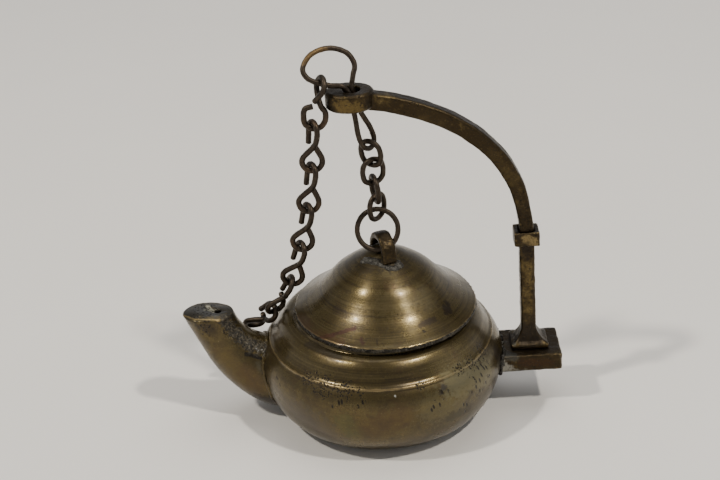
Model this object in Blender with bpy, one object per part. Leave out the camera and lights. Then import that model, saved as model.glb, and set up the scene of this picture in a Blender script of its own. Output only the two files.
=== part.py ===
"""Bronze oil lamp: a turned bowl with a horn spout and a high bracket handle, a domed lid held by a
short chain, a wire hanger in the eye of the handle and a chain of S links hanging from that hanger.

Metres, +Z up. The origin is the centre of the flat base. The handle is at +X, the spout at -X.
"""

import math

import bmesh
import bpy
from mathutils import Matrix, Vector

MM = 0.001
FIT = 0.3 * MM  # clearance between pieces that touch
TURN_STEPS = 40  # facets round the bowl and the lid

# Bowl
BASE_RADIUS = 26.0 * MM
BOWL_RADIUS = 40.1 * MM
BELLY_HEIGHT = 20.0 * MM
RIDGE_HEIGHT = 28.25 * MM
RIDGE_LIP = 0.35 * MM
UPPER_WALL_CURVE = 12.0 * MM  # vertical radius of the wall above the belly
SHOULDER_HEIGHT = 35.4 * MM
RIM_HEIGHT = SHOULDER_HEIGHT + 1.2 * MM
MOUTH_RADIUS = 26.6 * MM
RIM_WIDTH = 1.6 * MM
WALL = 1.6 * MM
FLOOR = 2.0 * MM

# Lid
LID_RADIUS = 29.9 * MM
LID_EDGE = 1.5 * MM
LID_RISE = 20.6 * MM  # from the top of the edge to the crown
LID_TOP = RIM_HEIGHT + FIT + LID_EDGE + LID_RISE
LID_WALL = 1.5 * MM
LID_SLACK = 2.0 * MM  # how far the lid slides in the mouth, all of it taken up towards the handle
SPIGOT_WALL = 1.6 * MM
SPIGOT_DEPTH = 3.0 * MM

# Eyelet on the lid and the ring in it
EYELET_WIDTH = 4.8 * MM
EYELET_THICK = 2.3 * MM
EYELET_SPAN = 12.4 * MM
EYELET_TOP = LID_TOP + 5.9 * MM
EYELET_TURN = math.radians(20)
EYELET_PLACE = (2.1 * MM, -1.6 * MM)
LID_RING_RADIUS = 6.55 * MM
LID_RING_WIRE = 1.7 * MM
LID_RING_LEAN = math.radians(28)
LID_RING_CENTRE = (0.7 * MM, -0.3 * MM, LID_TOP + 6.35 * MM)

# Spout: a curved horn, its sections given as place, radius in the plane of the curve and radius across it
SPOUT_WALL = 1.6 * MM
SPOUT_TIP_HEIGHT = 38.3 * MM
SPOUT_TIP = (-BOWL_RADIUS - 16.5 * MM, 8.15 * MM, 6.4 * MM)
SPOUT_SECTIONS = (
    (-BOWL_RADIUS + 10.1 * MM, 12.6 * MM, 12.0 * MM, 11.6 * MM),
    (-BOWL_RADIUS + 2.6 * MM, 15.2 * MM, 11.8 * MM, 11.2 * MM),
    (-BOWL_RADIUS - 4.4 * MM, 19.5 * MM, 10.0 * MM, 9.6 * MM),
    (-BOWL_RADIUS - 9.7 * MM, 25.0 * MM, 8.5 * MM, 8.0 * MM),
    (-BOWL_RADIUS - 13.5 * MM, 31.5 * MM, 7.6 * MM, 6.8 * MM),
)
TIP_CAP = 1.4 * MM
WICK_HOLE_RADIUS = 1.2 * MM
WICK_HOLE_OFFSET = 3.4 * MM
PORT_RADIUS = 6.0 * MM
PORT_HEIGHT = 15.0 * MM

# Handle
BRACKET_TOP = 19.6 * MM
BRACKET_THICK = 6.0 * MM
BRACKET_END = 59.4 * MM
BRACKET_DEPTH = 17.6 * MM
BRACKET_CHAMFER = 1.1 * MM
POST_X = 49.2 * MM
POST_LEAN = -0.8 * MM  # how far the socket stands in from the foot
POST_SIDE = 4.8 * MM
FOOT_WIDTH = 12.3 * MM
FOOT_DEPTH = 10.0 * MM
FOOT_SLAB = 1.3 * MM
FOOT_HEIGHT = 7.2 * MM
SOCKET_WIDTH = 8.2 * MM
SOCKET_DEPTH = 7.2 * MM
SOCKET_HEIGHT = 4.9 * MM
SOCKET_TOP = 62.6 * MM
POCKET_DEPTH = 2.6 * MM
ARM_DEPTH = 4.9 * MM
ARM_THICK = 5.5 * MM
ARM_END_THICK = 4.6 * MM
ARM_PATH = (
    (-3.0 * MM, 110.9 * MM),
    (5.0 * MM, 109.5 * MM),
    (14.5 * MM, 106.7 * MM),
    (25.5 * MM, 101.6 * MM),
    (34.6 * MM, 94.6 * MM),
    (41.3 * MM, 86.6 * MM),
    (45.8 * MM, 77.0 * MM),
    (47.9 * MM, 67.5 * MM),
)
EYE_CENTRE = (-5.9 * MM, 0.0, 111.4 * MM)
EYE_HOLE_SHIFT = 0.7 * MM  # the hole sits a little towards the arm
EYE_LENGTH = 15.2 * MM
EYE_DEPTH = 12.8 * MM
EYE_THICK = 5.9 * MM
EYE_HOLE_RADIUS = 2.8 * MM

# Hanger: one wire, bent into a leaning ring above the eye and a long loop below it, in mm
HANGER_WIRE = 1.7 * MM
HANGER_RING = (
    (-5.0, 0.7, 114.4),
    (-4.4, 2.2, 118.0),
    (-3.8, 3.9, 121.0),
    (-6.2, 5.2, 124.4),
    (-11.4, 5.1, 126.1),
    (-16.8, 3.0, 125.2),
    (-19.6, 0.3, 121.9),
    (-18.4, -1.2, 119.2),
    (-15.2, -1.4, 117.5),
    (-11.4, -1.2, 116.3),
    (-8.0, -1.2, 115.9),
    (-6.1, -1.0, 113.4),
)
HANGER_LOOP_TURN = math.radians(54)
HANGER_LOOP_FOOT = (-0.2, 0.2, 94.1)
HANGER_LOOP_WIDTH = 6.8
HANGER_LOOP_NECK = (-4.7, -0.25, 109.6)
HANGER_NECK_WIDTH = 2.1

# Lid chain: oval links, each turned about the vertical
LINK_LENGTH = 10.5 * MM
LINK_WIDTH = 8.8 * MM
LINK_WIRE = 1.75 * MM
LINK_CHAIN_TOP = (-0.2 * MM, 0.2 * MM, 92.2 * MM)
LINK_CHAIN_LOW = (0.9 * MM, 2.7 * MM, LID_TOP + 13.1 * MM)
LINK_TURNS = (-32, 22, 106, 48)  # degrees

# Side chain: S links, each an arch over the link above and a loop below it
S_WIRE = 1.85 * MM
S_ARCH_RADIUS = 2.7 * MM
S_LOOP_RADIUS = 3.15 * MM
S_PITCH = 14.5 * MM
S_FIRST_HOOK_RADIUS = 3.4 * MM  # the first link hangs the other way up, its hook pulled open
S_ARCH_TURNS = (72, 62, 62, 62, 62, 120, 80)  # degrees from each link's loop to its arch
S_TWISTS = (-72, 0, 0, 0, 0, 40, 30)  # degrees that each link turns about its own length
S_ROUTE = (
    (-14.1, -1.6, 118.1),
    (-17.6, -2.6, 104.0),
    (-18.8, -2.5, 89.7),
    (-20.9, -2.2, 75.4),
    (-23.9, -1.2, 61.4),
    (-BOWL_RADIUS / MM + 11.9, 0.8, SHOULDER_HEIGHT / MM + 12.4),
    (-BOWL_RADIUS / MM + 5.1, 4.2, SHOULDER_HEIGHT / MM - 0.1),
    (-BOWL_RADIUS / MM - 4.4, 12.5, 24.5),
)


def clear_scene():
    for obj in list(bpy.data.objects):
        bpy.data.objects.remove(obj, do_unlink=True)


def metal(name, colour, roughness):
    """A metal finish."""
    found = bpy.data.materials.get(name)
    if found:
        return found
    made = bpy.data.materials.new(name)
    made.use_nodes = True
    shader = made.node_tree.nodes["Principled BSDF"]
    shader.inputs["Base Color"].default_value = (*colour, 1.0)
    shader.inputs["Metallic"].default_value = 1.0
    shader.inputs["Roughness"].default_value = roughness
    return made


def turned_bronze():
    return metal("turned bronze", (0.33, 0.25, 0.12), 0.34)


def cast_bronze():
    return metal("cast bronze", (0.22, 0.16, 0.08), 0.48)


def dark_wire():
    return metal("dark bronze wire", (0.12, 0.08, 0.05), 0.42)


def keep(name, mesh, finish, smooth_angle=40):
    """Make the named object of a finished mesh."""
    mesh.materials.append(finish)
    mesh.shade_smooth()
    mesh.set_sharp_from_angle(angle=math.radians(smooth_angle))
    obj = bpy.data.objects.new(name, mesh)
    bpy.context.scene.collection.objects.link(obj)
    return obj


def mesh_from(bm, name):
    bmesh.ops.recalc_face_normals(bm, faces=bm.faces)
    mesh = bpy.data.meshes.new(name)
    bm.to_mesh(mesh)
    bm.free()
    return mesh


def as_cutter(obj):
    obj.hide_render = True
    obj.display_type = "WIRE"
    return obj


def boolean(obj, other, operation="DIFFERENCE"):
    step = obj.modifiers.new(f"{operation.lower()} {other.name}", "BOOLEAN")
    step.operation = operation
    step.object = other
    step.solver = "EXACT"


def smooth_path(points, steps, closed=False):
    """Points of a Catmull-Rom curve through the given ones."""
    points = [Vector(point) for point in points]
    count = len(points)
    spans = count if closed else count - 1
    found = []
    for span in range(spans):
        if closed:
            p0, p1, p2, p3 = (points[(span + i - 1) % count] for i in range(4))
        else:
            p0, p1, p2, p3 = (points[min(max(span + i - 1, 0), count - 1)] for i in range(4))
        for step in range(steps):
            t = step / steps
            found.append(
                0.5
                * (
                    2 * p1
                    + (p2 - p0) * t
                    + (2 * p0 - 5 * p1 + 4 * p2 - p3) * t**2
                    + (3 * p1 - p0 - 3 * p2 + p3) * t**3
                )
            )
    if not closed:
        found.append(points[-1])
    return found


def ellipse_arc(centre, radii, start, end, steps):
    """Points (r, z) of an elliptic arc, its angles in degrees from the +r direction."""
    found = []
    for step in range(steps + 1):
        angle = math.radians(start + (end - start) * step / steps)
        found.append((centre[0] + radii[0] * math.cos(angle), centre[1] + radii[1] * math.sin(angle)))
    return found


def turned(name, profile):
    """A solid turned about Z from a profile of (radius, height) that starts and ends on the axis."""
    bm = bmesh.new()
    verts = [bm.verts.new((radius, 0, height)) for radius, height in profile]
    edges = [bm.edges.new(pair) for pair in zip(verts, verts[1:])]
    bmesh.ops.spin(
        bm,
        geom=verts + edges,
        cent=(0, 0, 0),
        axis=(0, 0, 1),
        angle=math.tau,
        steps=TURN_STEPS,
        use_merge=True,
    )
    bmesh.ops.remove_doubles(bm, verts=bm.verts, dist=1e-6)
    return mesh_from(bm, name)


def loft(name, rings):
    """A closed solid through rings of equally many points, with flat ends."""
    bm = bmesh.new()
    rows = [[bm.verts.new(point) for point in ring] for ring in rings]
    for row, after in zip(rows, rows[1:]):
        for i in range(len(row)):
            j = (i + 1) % len(row)
            bm.faces.new((row[i], row[j], after[j], after[i]))
    bm.faces.new(rows[0])
    bm.faces.new(rows[-1])
    return mesh_from(bm, name)


def wire(name, points, diameter, closed, finish, sides_step=1):
    """A round wire along the points."""
    curve = bpy.data.curves.new(name, "CURVE")
    curve.dimensions = "3D"
    curve.bevel_depth = diameter / 2
    curve.bevel_resolution = sides_step
    curve.use_fill_caps = not closed
    spline = curve.splines.new("POLY")
    spline.points.add(len(points) - 1)
    for place, point in zip(spline.points, points):
        place.co = (*point, 1.0)
    spline.use_cyclic_u = closed
    spline.use_smooth = True
    curve.materials.append(finish)
    obj = bpy.data.objects.new(name, curve)
    bpy.context.scene.collection.objects.link(obj)
    return obj


def circle_points(centre, across, along, radius, steps):
    """Points of a circle that spans the two unit directions."""
    centre, across, along = Vector(centre), Vector(across), Vector(along)
    found = []
    for step in range(steps):
        angle = math.tau * step / steps
        found.append(centre + radius * (across * math.cos(angle) + along * math.sin(angle)))
    return found


def bowl_wall(out=0.0, steps=6):
    """The belly's profile from the base to just under the ridge, moved out by a distance."""
    lower = ellipse_arc(
        (BASE_RADIUS, BELLY_HEIGHT),
        (BOWL_RADIUS - BASE_RADIUS + out, BELLY_HEIGHT + out),
        -90,
        0,
        steps,
    )
    top_angle = math.degrees(math.asin((RIDGE_HEIGHT - 2 * RIDGE_LIP - BELLY_HEIGHT) / UPPER_WALL_CURVE))
    upper = ellipse_arc(
        (BASE_RADIUS, BELLY_HEIGHT),
        (BOWL_RADIUS - BASE_RADIUS + out, UPPER_WALL_CURVE + out),
        0,
        top_angle,
        3,
    )
    return lower + upper[1:]


def shoulder(out=0.0):
    """The ogee from the ridge to the foot of the rim, moved out by a distance."""
    ridge_radius = bowl_wall()[-1][0]
    rise = SHOULDER_HEIGHT - RIDGE_HEIGHT
    foot = MOUTH_RADIUS + RIM_WIDTH
    run = ridge_radius - foot
    shares = ((0.14, 0.10), (0.27, 0.34), (0.42, 0.64), (0.62, 0.90), (0.82, 1.0))
    return [(ridge_radius - share * run + out, RIDGE_HEIGHT + up * rise + out) for share, up in shares]


def make_body():
    """The hollow bowl: one casting, turned outside, with a port into the spout."""
    wall = bowl_wall()
    ridge_radius = wall[-1][0]
    rim_foot = MOUTH_RADIUS + RIM_WIDTH
    outside = [(0, 0)] + wall
    outside += [(ridge_radius + RIDGE_LIP, RIDGE_HEIGHT - RIDGE_LIP), (ridge_radius, RIDGE_HEIGHT)]
    outside += shoulder()
    outside += [(rim_foot, SHOULDER_HEIGHT), (rim_foot, RIM_HEIGHT), (MOUTH_RADIUS, RIM_HEIGHT)]
    inner_wall = bowl_wall(-WALL, steps=4)
    inner_shoulder = shoulder(-WALL)
    inside = [(MOUTH_RADIUS, inner_shoulder[-1][1])] + inner_shoulder[1:-1][::-1] + inner_wall[1:][::-1]
    inside = [point for point in inside if point[1] > FLOOR]
    inside += [(BASE_RADIUS, FLOOR), (0, FLOOR)]
    body = keep("body", turned("body", outside + inside), turned_bronze())
    port = circle_points((0, 0, PORT_HEIGHT), (0, 1, 0), (0, 0, 1), PORT_RADIUS, 16)
    start, end = Vector((-BOWL_RADIUS - WALL, 0, 0)), Vector((-BASE_RADIUS, 0, 0))
    rings = [[point + start for point in port], [point + end for point in port]]
    cutter = as_cutter(keep("port cutter", loft("port cutter", rings), turned_bronze()))
    boolean(body, cutter)
    return body


def bowl_envelope():
    """The bowl's outer form grown by the fit, which trims what is soldered to it."""
    profile = [(0, -WALL), (BASE_RADIUS, -WALL)] + bowl_wall(FIT)[:-1]
    radius = bowl_wall()[-1][0] + FIT
    profile += [
        (radius, RIDGE_HEIGHT - 2 * RIDGE_LIP - FIT),
        (radius + RIDGE_LIP, RIDGE_HEIGHT - RIDGE_LIP - FIT / 2),
        (radius + RIDGE_LIP, RIDGE_HEIGHT + FIT),
    ]
    profile += shoulder(FIT) + [(0, SHOULDER_HEIGHT)]
    return as_cutter(keep("bowl envelope", turned("bowl envelope", profile), turned_bronze()))


LID_SHARES = (
    (0.000, 1.000),
    (0.110, 0.975),
    (0.230, 0.885),
    (0.385, 0.745),
    (0.530, 0.577),
    (0.630, 0.430),
    (0.736, 0.275),
    (0.846, 0.140),
    (0.943, 0.045),
)


def lid_base():
    """Height of the top of the lid's edge."""
    return RIM_HEIGHT + FIT + LID_EDGE


def lid_crown(radius):
    """Height of the lid's outer face at a radius from the lid's axis."""
    share = radius / LID_RADIUS
    points = LID_SHARES + ((1.0, 0.0),)
    for (r1, h1), (r2, h2) in zip(points, points[1:]):
        if r1 <= share <= r2:
            return lid_base() + LID_RISE * (h1 + (h2 - h1) * (share - r1) / (r2 - r1))
    return lid_base()


def make_lid():
    """The domed lid: a thin casting with a wide brim and a spigot that drops into the mouth."""
    base = lid_base()
    spigot = MOUTH_RADIUS - FIT - LID_SLACK
    bore = spigot - SPIGOT_WALL
    outside = [(LID_RADIUS * share, base + LID_RISE * up) for share, up in LID_SHARES]
    outside += [(LID_RADIUS, base), (LID_RADIUS, base - LID_EDGE)]
    outside += [(spigot, base - LID_EDGE), (spigot, base - LID_EDGE - SPIGOT_DEPTH)]
    outside += [(bore, base - LID_EDGE - SPIGOT_DEPTH)]
    inside = []
    for radius in (bore, bore * 0.86, bore * 0.7, bore * 0.5, bore * 0.25, 0):
        slope = (lid_crown(max(radius - WALL, 0)) - lid_crown(radius + WALL)) / (2 * WALL)
        inside.append((radius, lid_crown(radius) - LID_WALL * math.hypot(1, slope)))
    lid = keep("lid", turned("lid", outside + inside), turned_bronze())
    lid.location.x = LID_SLACK
    return lid


def dome_envelope():
    """The lid's outer form grown by the fit, which trims the eyelet's feet."""
    base = lid_base()
    profile = [(LID_RADIUS * share, base + LID_RISE * up + FIT) for share, up in LID_SHARES]
    profile += [(LID_RADIUS, base), (0, base)]
    cutter = as_cutter(keep("dome envelope", turned("dome envelope", profile), turned_bronze()))
    cutter.location.x = LID_SLACK
    return cutter


def make_eyelet():
    """A flat strap bent into an arch, its feet set on the dome."""
    across = Vector((math.cos(EYELET_TURN), math.sin(EYELET_TURN), 0))
    front = Vector((math.sin(EYELET_TURN), -math.cos(EYELET_TURN), 0))
    up = Vector((0, 0, 1))
    half = EYELET_SPAN / 2
    centre = Vector((*EYELET_PLACE, EYELET_TOP - half))
    feet = Vector((0, 0, -half))
    corner = 0.18 * EYELET_WIDTH
    rings = []
    angles = [math.pi * step / 10 for step in range(11)]
    stations = [(-1, 0)] + [(-math.cos(angle), math.sin(angle)) for angle in angles] + [(1, 0)]
    for index, (side, rise) in enumerate(stations):
        foot = index in (0, len(stations) - 1)
        outward = (front * side + up * rise).normalized()
        base = centre + (feet if foot else Vector())
        outer = base + outward * half * (1.0 if not foot else 1.04)
        inner = base + outward * (half - EYELET_THICK)
        wide = across * (EYELET_WIDTH / 2)
        narrow = across * (EYELET_WIDTH / 2 - corner)
        soft = outward * corner * 0.8
        rings.append(
            [
                outer + narrow,
                outer - narrow,
                outer - wide - soft,
                inner - wide + soft,
                inner - narrow,
                inner + narrow,
                inner + wide + soft,
                outer + wide - soft,
            ]
        )
    eyelet = keep("lid_eyelet", loft("lid_eyelet", rings), cast_bronze())
    boolean(eyelet, dome_envelope())
    return eyelet


def make_lid_ring():
    """The round ring in the eyelet, standing on the dome and leaning back."""
    up = (0, math.sin(LID_RING_LEAN), math.cos(LID_RING_LEAN))
    points = circle_points(LID_RING_CENTRE, (1, 0, 0), up, LID_RING_RADIUS, 24)
    return wire("lid_ring", points, LID_RING_WIRE, True, dark_wire())


def spout_rings(inset, sides, top):
    """Rings of the horn, drawn in by a distance, up to a flat ring at the tip."""
    tip_x, tip_along, tip_across = SPOUT_TIP
    places = [Vector((x, 0, z)) for x, z, _, _ in SPOUT_SECTIONS] + [Vector((tip_x, 0, SPOUT_TIP_HEIGHT))]
    radii = [(a, b) for _, _, a, b in SPOUT_SECTIONS]
    rings = []
    last = len(SPOUT_SECTIONS) - 1
    curve = smooth_path([(*place.xz, 0) for place in places], 2)
    sizes = smooth_path([(a, b, 0) for a, b in radii] + [(tip_along, tip_across, 0)], 2)
    for index, (place, size) in enumerate(zip(curve, sizes)):
        before = curve[max(index - 1, 0)]
        after = curve[min(index + 1, len(curve) - 1)]
        heading = (after - before).normalized()
        normal = Vector((-heading.y, 0, heading.x))
        if index == len(curve) - 1:
            normal = Vector((1, 0, 0))
            place = Vector((place.x, top, 0))
        elif index == len(curve) - 2:
            normal = (normal * -1 + Vector((1, 0, 0))).normalized() * -1
            place = place + Vector((0, top - SPOUT_TIP_HEIGHT, 0))
        flip = 1 if normal.x >= 0 else -1
        ring = []
        for side in range(sides):
            angle = math.tau * side / sides
            along = (size.x - inset) * math.cos(angle) * flip
            across = (size.y - inset) * math.sin(angle)
            ring.append(Vector((place.x, 0, place.y)) + normal * along + Vector((0, across, 0)))
        rings.append(ring)
    return rings[: 2 * last + 3]


def make_spout():
    """The horn: hollow from the port to the capped tip, which has a small wick hole."""
    spout = keep("spout", loft("spout", spout_rings(0, 24, SPOUT_TIP_HEIGHT)), turned_bronze())
    hollow = loft("spout hollow", spout_rings(SPOUT_WALL, 16, SPOUT_TIP_HEIGHT - TIP_CAP))
    hollow = as_cutter(keep("spout hollow", hollow, turned_bronze()))
    place = Vector((SPOUT_TIP[0] + WICK_HOLE_OFFSET, 0, SPOUT_TIP_HEIGHT))
    circle = circle_points(place, (1, 0, 0), (0, 1, 0), WICK_HOLE_RADIUS, 10)
    reach = Vector((0, 0, 2 * TIP_CAP))
    rings = [[point - reach for point in circle], [point + reach for point in circle]]
    wick = as_cutter(keep("wick hole", loft("wick hole", rings), turned_bronze()))
    boolean(spout, hollow)
    boolean(spout, wick)
    boolean(spout, bpy.data.objects["bowl envelope"])
    return spout


def chamfered(centre, half_a, half_b, direction_a, direction_b, corner):
    """Eight points of a rectangle with cut corners."""
    a, b = Vector(direction_a), Vector(direction_b)
    signs = ((1, 1), (-1, 1), (-1, -1), (1, -1))
    found = []
    for index, (i, j) in enumerate(signs):
        long = centre + a * i * half_a + b * j * (half_b - corner)
        short = centre + a * i * (half_a - corner) + b * j * half_b
        found += [long, short] if index % 2 == 0 else [short, long]
    return found


def make_bracket():
    """The block soldered to the bowl that carries the handle."""
    low = BRACKET_TOP - BRACKET_THICK
    start = BASE_RADIUS
    bm = bmesh.new()
    bmesh.ops.create_cube(bm, size=1.0)
    length = BRACKET_END - start
    bmesh.ops.scale(bm, vec=(length, BRACKET_DEPTH, BRACKET_THICK), verts=bm.verts)
    bmesh.ops.translate(bm, vec=(start + length / 2, 0, low + BRACKET_THICK / 2), verts=bm.verts)
    middle = start + length / 2
    end_edges = [
        edge
        for edge in bm.edges
        if all(vert.co.x > middle for vert in edge.verts) or edge.verts[0].co.z == edge.verts[1].co.z
    ]
    bmesh.ops.bevel(bm, geom=end_edges, offset=BRACKET_CHAMFER / 2, segments=1, affect="EDGES")
    bracket = keep("handle_bracket", mesh_from(bm, "handle_bracket"), cast_bronze(), 25)
    boolean(bracket, bpy.data.objects["bowl envelope"])
    return bracket


def make_post():
    """The pillar: a square slab, a hollow-sided foot, a plain shaft and a socket."""
    low = BRACKET_TOP + FIT
    shaft_end = SOCKET_TOP - SOCKET_HEIGHT
    half = POST_SIDE / 2
    levels = [(height, FOOT_WIDTH / 2, FOOT_DEPTH / 2) for height in (low, low + FOOT_SLAB)]
    for share in (0.15, 0.35, 0.65, 1.0):
        ease = (1 - share) ** 2.0
        height = low + FOOT_SLAB + share * (FOOT_HEIGHT - FOOT_SLAB)
        wide = half + ease * (FOOT_WIDTH * 0.46 - half)
        deep = half + ease * (FOOT_DEPTH * 0.45 - half)
        levels.append((height, wide, deep))
    levels += [(shaft_end, half, half)]
    levels += [(height, SOCKET_WIDTH / 2, SOCKET_DEPTH / 2) for height in (shaft_end, SOCKET_TOP)]
    rings = []
    for height, wide, deep in levels:
        lean = POST_LEAN * (height - low) / (SOCKET_TOP - low)
        centre = Vector((POST_X + lean, 0, height))
        rings.append(chamfered(centre, wide, deep, (1, 0, 0), (0, 1, 0), 0.5 * MM))
    post = keep("handle_post", loft("handle_post", rings), cast_bronze(), 30)
    centre = Vector((POST_X + POST_LEAN, 0, SOCKET_TOP))
    rings = [
        chamfered(
            centre + Vector((0, 0, height)),
            ARM_END_THICK / 2 + FIT,
            ARM_DEPTH / 2 + FIT,
            (1, 0, 0),
            (0, 1, 0),
            0.3 * MM,
        )
        for height in (-POCKET_DEPTH, POCKET_DEPTH)
    ]
    boolean(post, as_cutter(keep("pocket cutter", loft("pocket cutter", rings), cast_bronze())))
    return post


def make_arm():
    """The curved bar from the socket to the eye that the hanger passes through."""
    end = (POST_X + POST_LEAN, SOCKET_TOP - POCKET_DEPTH + FIT)
    way = list(ARM_PATH) + [(end[0], SOCKET_TOP), end]
    path = smooth_path([(x, 0, z) for x, z in way], 2)
    rings = []
    for index, place in enumerate(path):
        before = path[max(index - 1, 0)]
        after = path[min(index + 1, len(path) - 1)]
        heading = (after - before).normalized()
        normal = Vector((heading.z, 0, -heading.x))
        share = min(index / (len(path) - 5), 1.0)
        thick = ARM_THICK + (ARM_END_THICK - ARM_THICK) * share**3
        rings.append(chamfered(place, thick / 2, ARM_DEPTH / 2, normal, (0, 1, 0), 0.6 * MM))
    arm = keep("handle_arm", loft("handle_arm", rings), cast_bronze(), 25)
    centre = Vector(EYE_CENTRE)
    bevel = 0.8 * MM
    rings = []
    for height, inset in (
        (-EYE_THICK / 2, bevel),
        (bevel - EYE_THICK / 2, 0),
        (EYE_THICK / 2 - bevel, 0),
        (EYE_THICK / 2, bevel),
    ):
        ring = []
        for step in range(24):
            angle = math.tau * step / 24
            ring.append(
                centre
                + Vector(
                    (
                        (EYE_LENGTH / 2 - inset) * math.cos(angle),
                        (EYE_DEPTH / 2 - inset) * math.sin(angle),
                        height,
                    )
                )
            )
        rings.append(ring)
    eye = as_cutter(keep("eye", loft("eye", rings), cast_bronze()))
    hole_centre = centre + Vector((EYE_HOLE_SHIFT, 0, 0))
    circle = circle_points(hole_centre, (1, 0, 0), (0, 1, 0), EYE_HOLE_RADIUS, 16)
    reach = Vector((0, 0, EYE_THICK))
    rings = [[point - reach for point in circle], [point + reach for point in circle]]
    hole = as_cutter(keep("eye hole", loft("eye hole", rings), cast_bronze()))
    boolean(arm, eye, "UNION")
    boolean(arm, hole)
    return arm


def make_hanger():
    """The wire hanger in the eye: its ring above, its long loop below."""
    across = Vector((math.cos(HANGER_LOOP_TURN), math.sin(HANGER_LOOP_TURN), 0))
    foot, neck = Vector(HANGER_LOOP_FOOT), Vector(HANGER_LOOP_NECK)
    half = HANGER_LOOP_WIDTH / 2
    loop = []
    for height, wide in ((1.0, 0), (0.72, 0.32), (0.42, 0.9), (half / (neck - foot).length, 1.0)):
        middle = foot.lerp(neck, height)
        side = HANGER_NECK_WIDTH / 2 + wide * (half - HANGER_NECK_WIDTH / 2)
        loop.append((middle - across * side, middle + across * side))
    down = (foot - neck).normalized()
    bend_centre = foot - down * half
    bend = [
        bend_centre + (-across * math.cos(angle) + down * math.sin(angle)) * half
        for angle in (math.pi * step / 4 for step in (1, 2, 3))
    ]
    points = [Vector(point) for point in HANGER_RING]
    points += [left for left, right in loop] + bend + [right for left, right in reversed(loop)]
    points = smooth_path([point * MM for point in points], 2, closed=True)
    return wire("suspension_ring", points, HANGER_WIRE, True, dark_wire())


def oval_points(centre, across, up, steps):
    """An oval link: two straight sides and round ends."""
    half = (LINK_WIDTH - LINK_WIRE) / 2
    straight = (LINK_LENGTH - LINK_WIDTH) / 2
    found = []
    for step in range(steps):
        angle = math.tau * (step + 0.5) / steps
        rise = math.sin(angle) * half + math.copysign(straight, math.sin(angle))
        found.append(centre + across * math.cos(angle) * half + up * rise)
    return found


def make_lid_chain():
    """Four oval links from the hanger's long loop down to the lid's ring."""
    top, low = Vector(LINK_CHAIN_TOP), Vector(LINK_CHAIN_LOW)
    up = (top - low).normalized()
    right = Vector((0, 1, 0)).cross(up).normalized()
    links = []
    for index, degrees in enumerate(LINK_TURNS):
        centre = top.lerp(low, index / (len(LINK_TURNS) - 1))
        across = Matrix.Rotation(math.radians(degrees), 3, up) @ right
        points = oval_points(centre, across, up, 16)
        links.append(wire(f"chain_link_{index + 1}", points, LINK_WIRE, True, dark_wire()))
    return links


def s_link_path(arch_turn, arch_radius=S_ARCH_RADIUS, end_share=1.0):
    """The middle line of one S link about the middle of its length: +X right, +Z up, -Y to the front."""
    up = Vector((0, 0, 1))
    half = (S_PITCH + S_WIRE + FIT) / 2
    crossing = 0.03 * half
    arch = Vector((math.cos(arch_turn), -math.sin(arch_turn), 0)) * arch_radius
    arch_centre = half - arch_radius
    loop_centre = S_LOOP_RADIUS - half
    points = [-arch * end_share + up * crossing * (8 - 7 * end_share), -arch + up * (0.5 * arch_centre)]
    for step in range(5):
        angle = math.pi * (1 - step / 4)
        points.append(arch * math.cos(angle) + up * (arch_centre + arch_radius * math.sin(angle)))
    points.append(arch * 0.85 + up * (0.48 * arch_centre))
    points.append(Vector((0.12, -0.5, 0)) * S_WIRE + up * crossing)
    for degrees in (158, 205, 250, 295, 340, 380):
        angle = math.radians(degrees)
        points.append(Vector((math.cos(angle), 0, math.sin(angle))) * S_LOOP_RADIUS + up * loop_centre)
    points[-1].y += 0.3 * S_WIRE
    points.append(Vector((0.5, 0.75, -0.6)) * S_WIRE + up * crossing)
    return points


def hinge_places(count):
    """Points a pitch apart along the side chain's route, where each link meets the next."""
    route = smooth_path([Vector(point) * MM for point in S_ROUTE], 40)
    places = [route[0]]
    for point in route:
        if (point - places[-1]).length >= S_PITCH and len(places) <= count:
            places.append(places[-1] + (point - places[-1]).normalized() * S_PITCH)
    while len(places) <= count:
        places.append(places[-1] + (route[-1] - route[-2]).normalized() * S_PITCH)
    return places


def make_side_chain():
    """S links from the hanger's ring down to the corner between the spout and the bowl."""
    places = hinge_places(len(S_TWISTS))
    links = []
    for index, (twist, arch_turn) in enumerate(zip(S_TWISTS, S_ARCH_TURNS)):
        above, below = places[index], places[index + 1]
        up = (above - below).normalized()
        right = Vector((0, 1, 0)).cross(up).normalized()
        turn = Matrix.Rotation(math.radians(twist), 3, up)
        right = turn @ right
        back = up.cross(right)
        frame = Matrix((right, back, up)).transposed()
        middle = (above + below) / 2
        points = s_link_path(math.radians(arch_turn))
        if index == 0:
            points = s_link_path(math.radians(arch_turn), S_FIRST_HOOK_RADIUS, 0.4)
            points = [Vector((point.x, -point.y, -point.z)) for point in points]
        path = smooth_path([frame @ point + middle for point in points], 2)
        links.append(wire(f"s_link_{index + 1}", path, S_WIRE, False, dark_wire()))
    return links


clear_scene()
bowl_envelope()
make_body()
make_spout()
make_lid()
make_eyelet()
make_lid_ring()
make_bracket()
make_post()
make_arm()
make_hanger()
make_lid_chain()
make_side_chain()
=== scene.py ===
"""Bronze oil lamp: the finished look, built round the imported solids.

Metres, +Z up. The origin is the centre of the flat base, the handle is at +X and the spout at -X.
"""

import math

import bmesh
import bpy
from bpy.props import FloatProperty, FloatVectorProperty, PointerProperty
from mathutils import Matrix, Vector, noise


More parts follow.
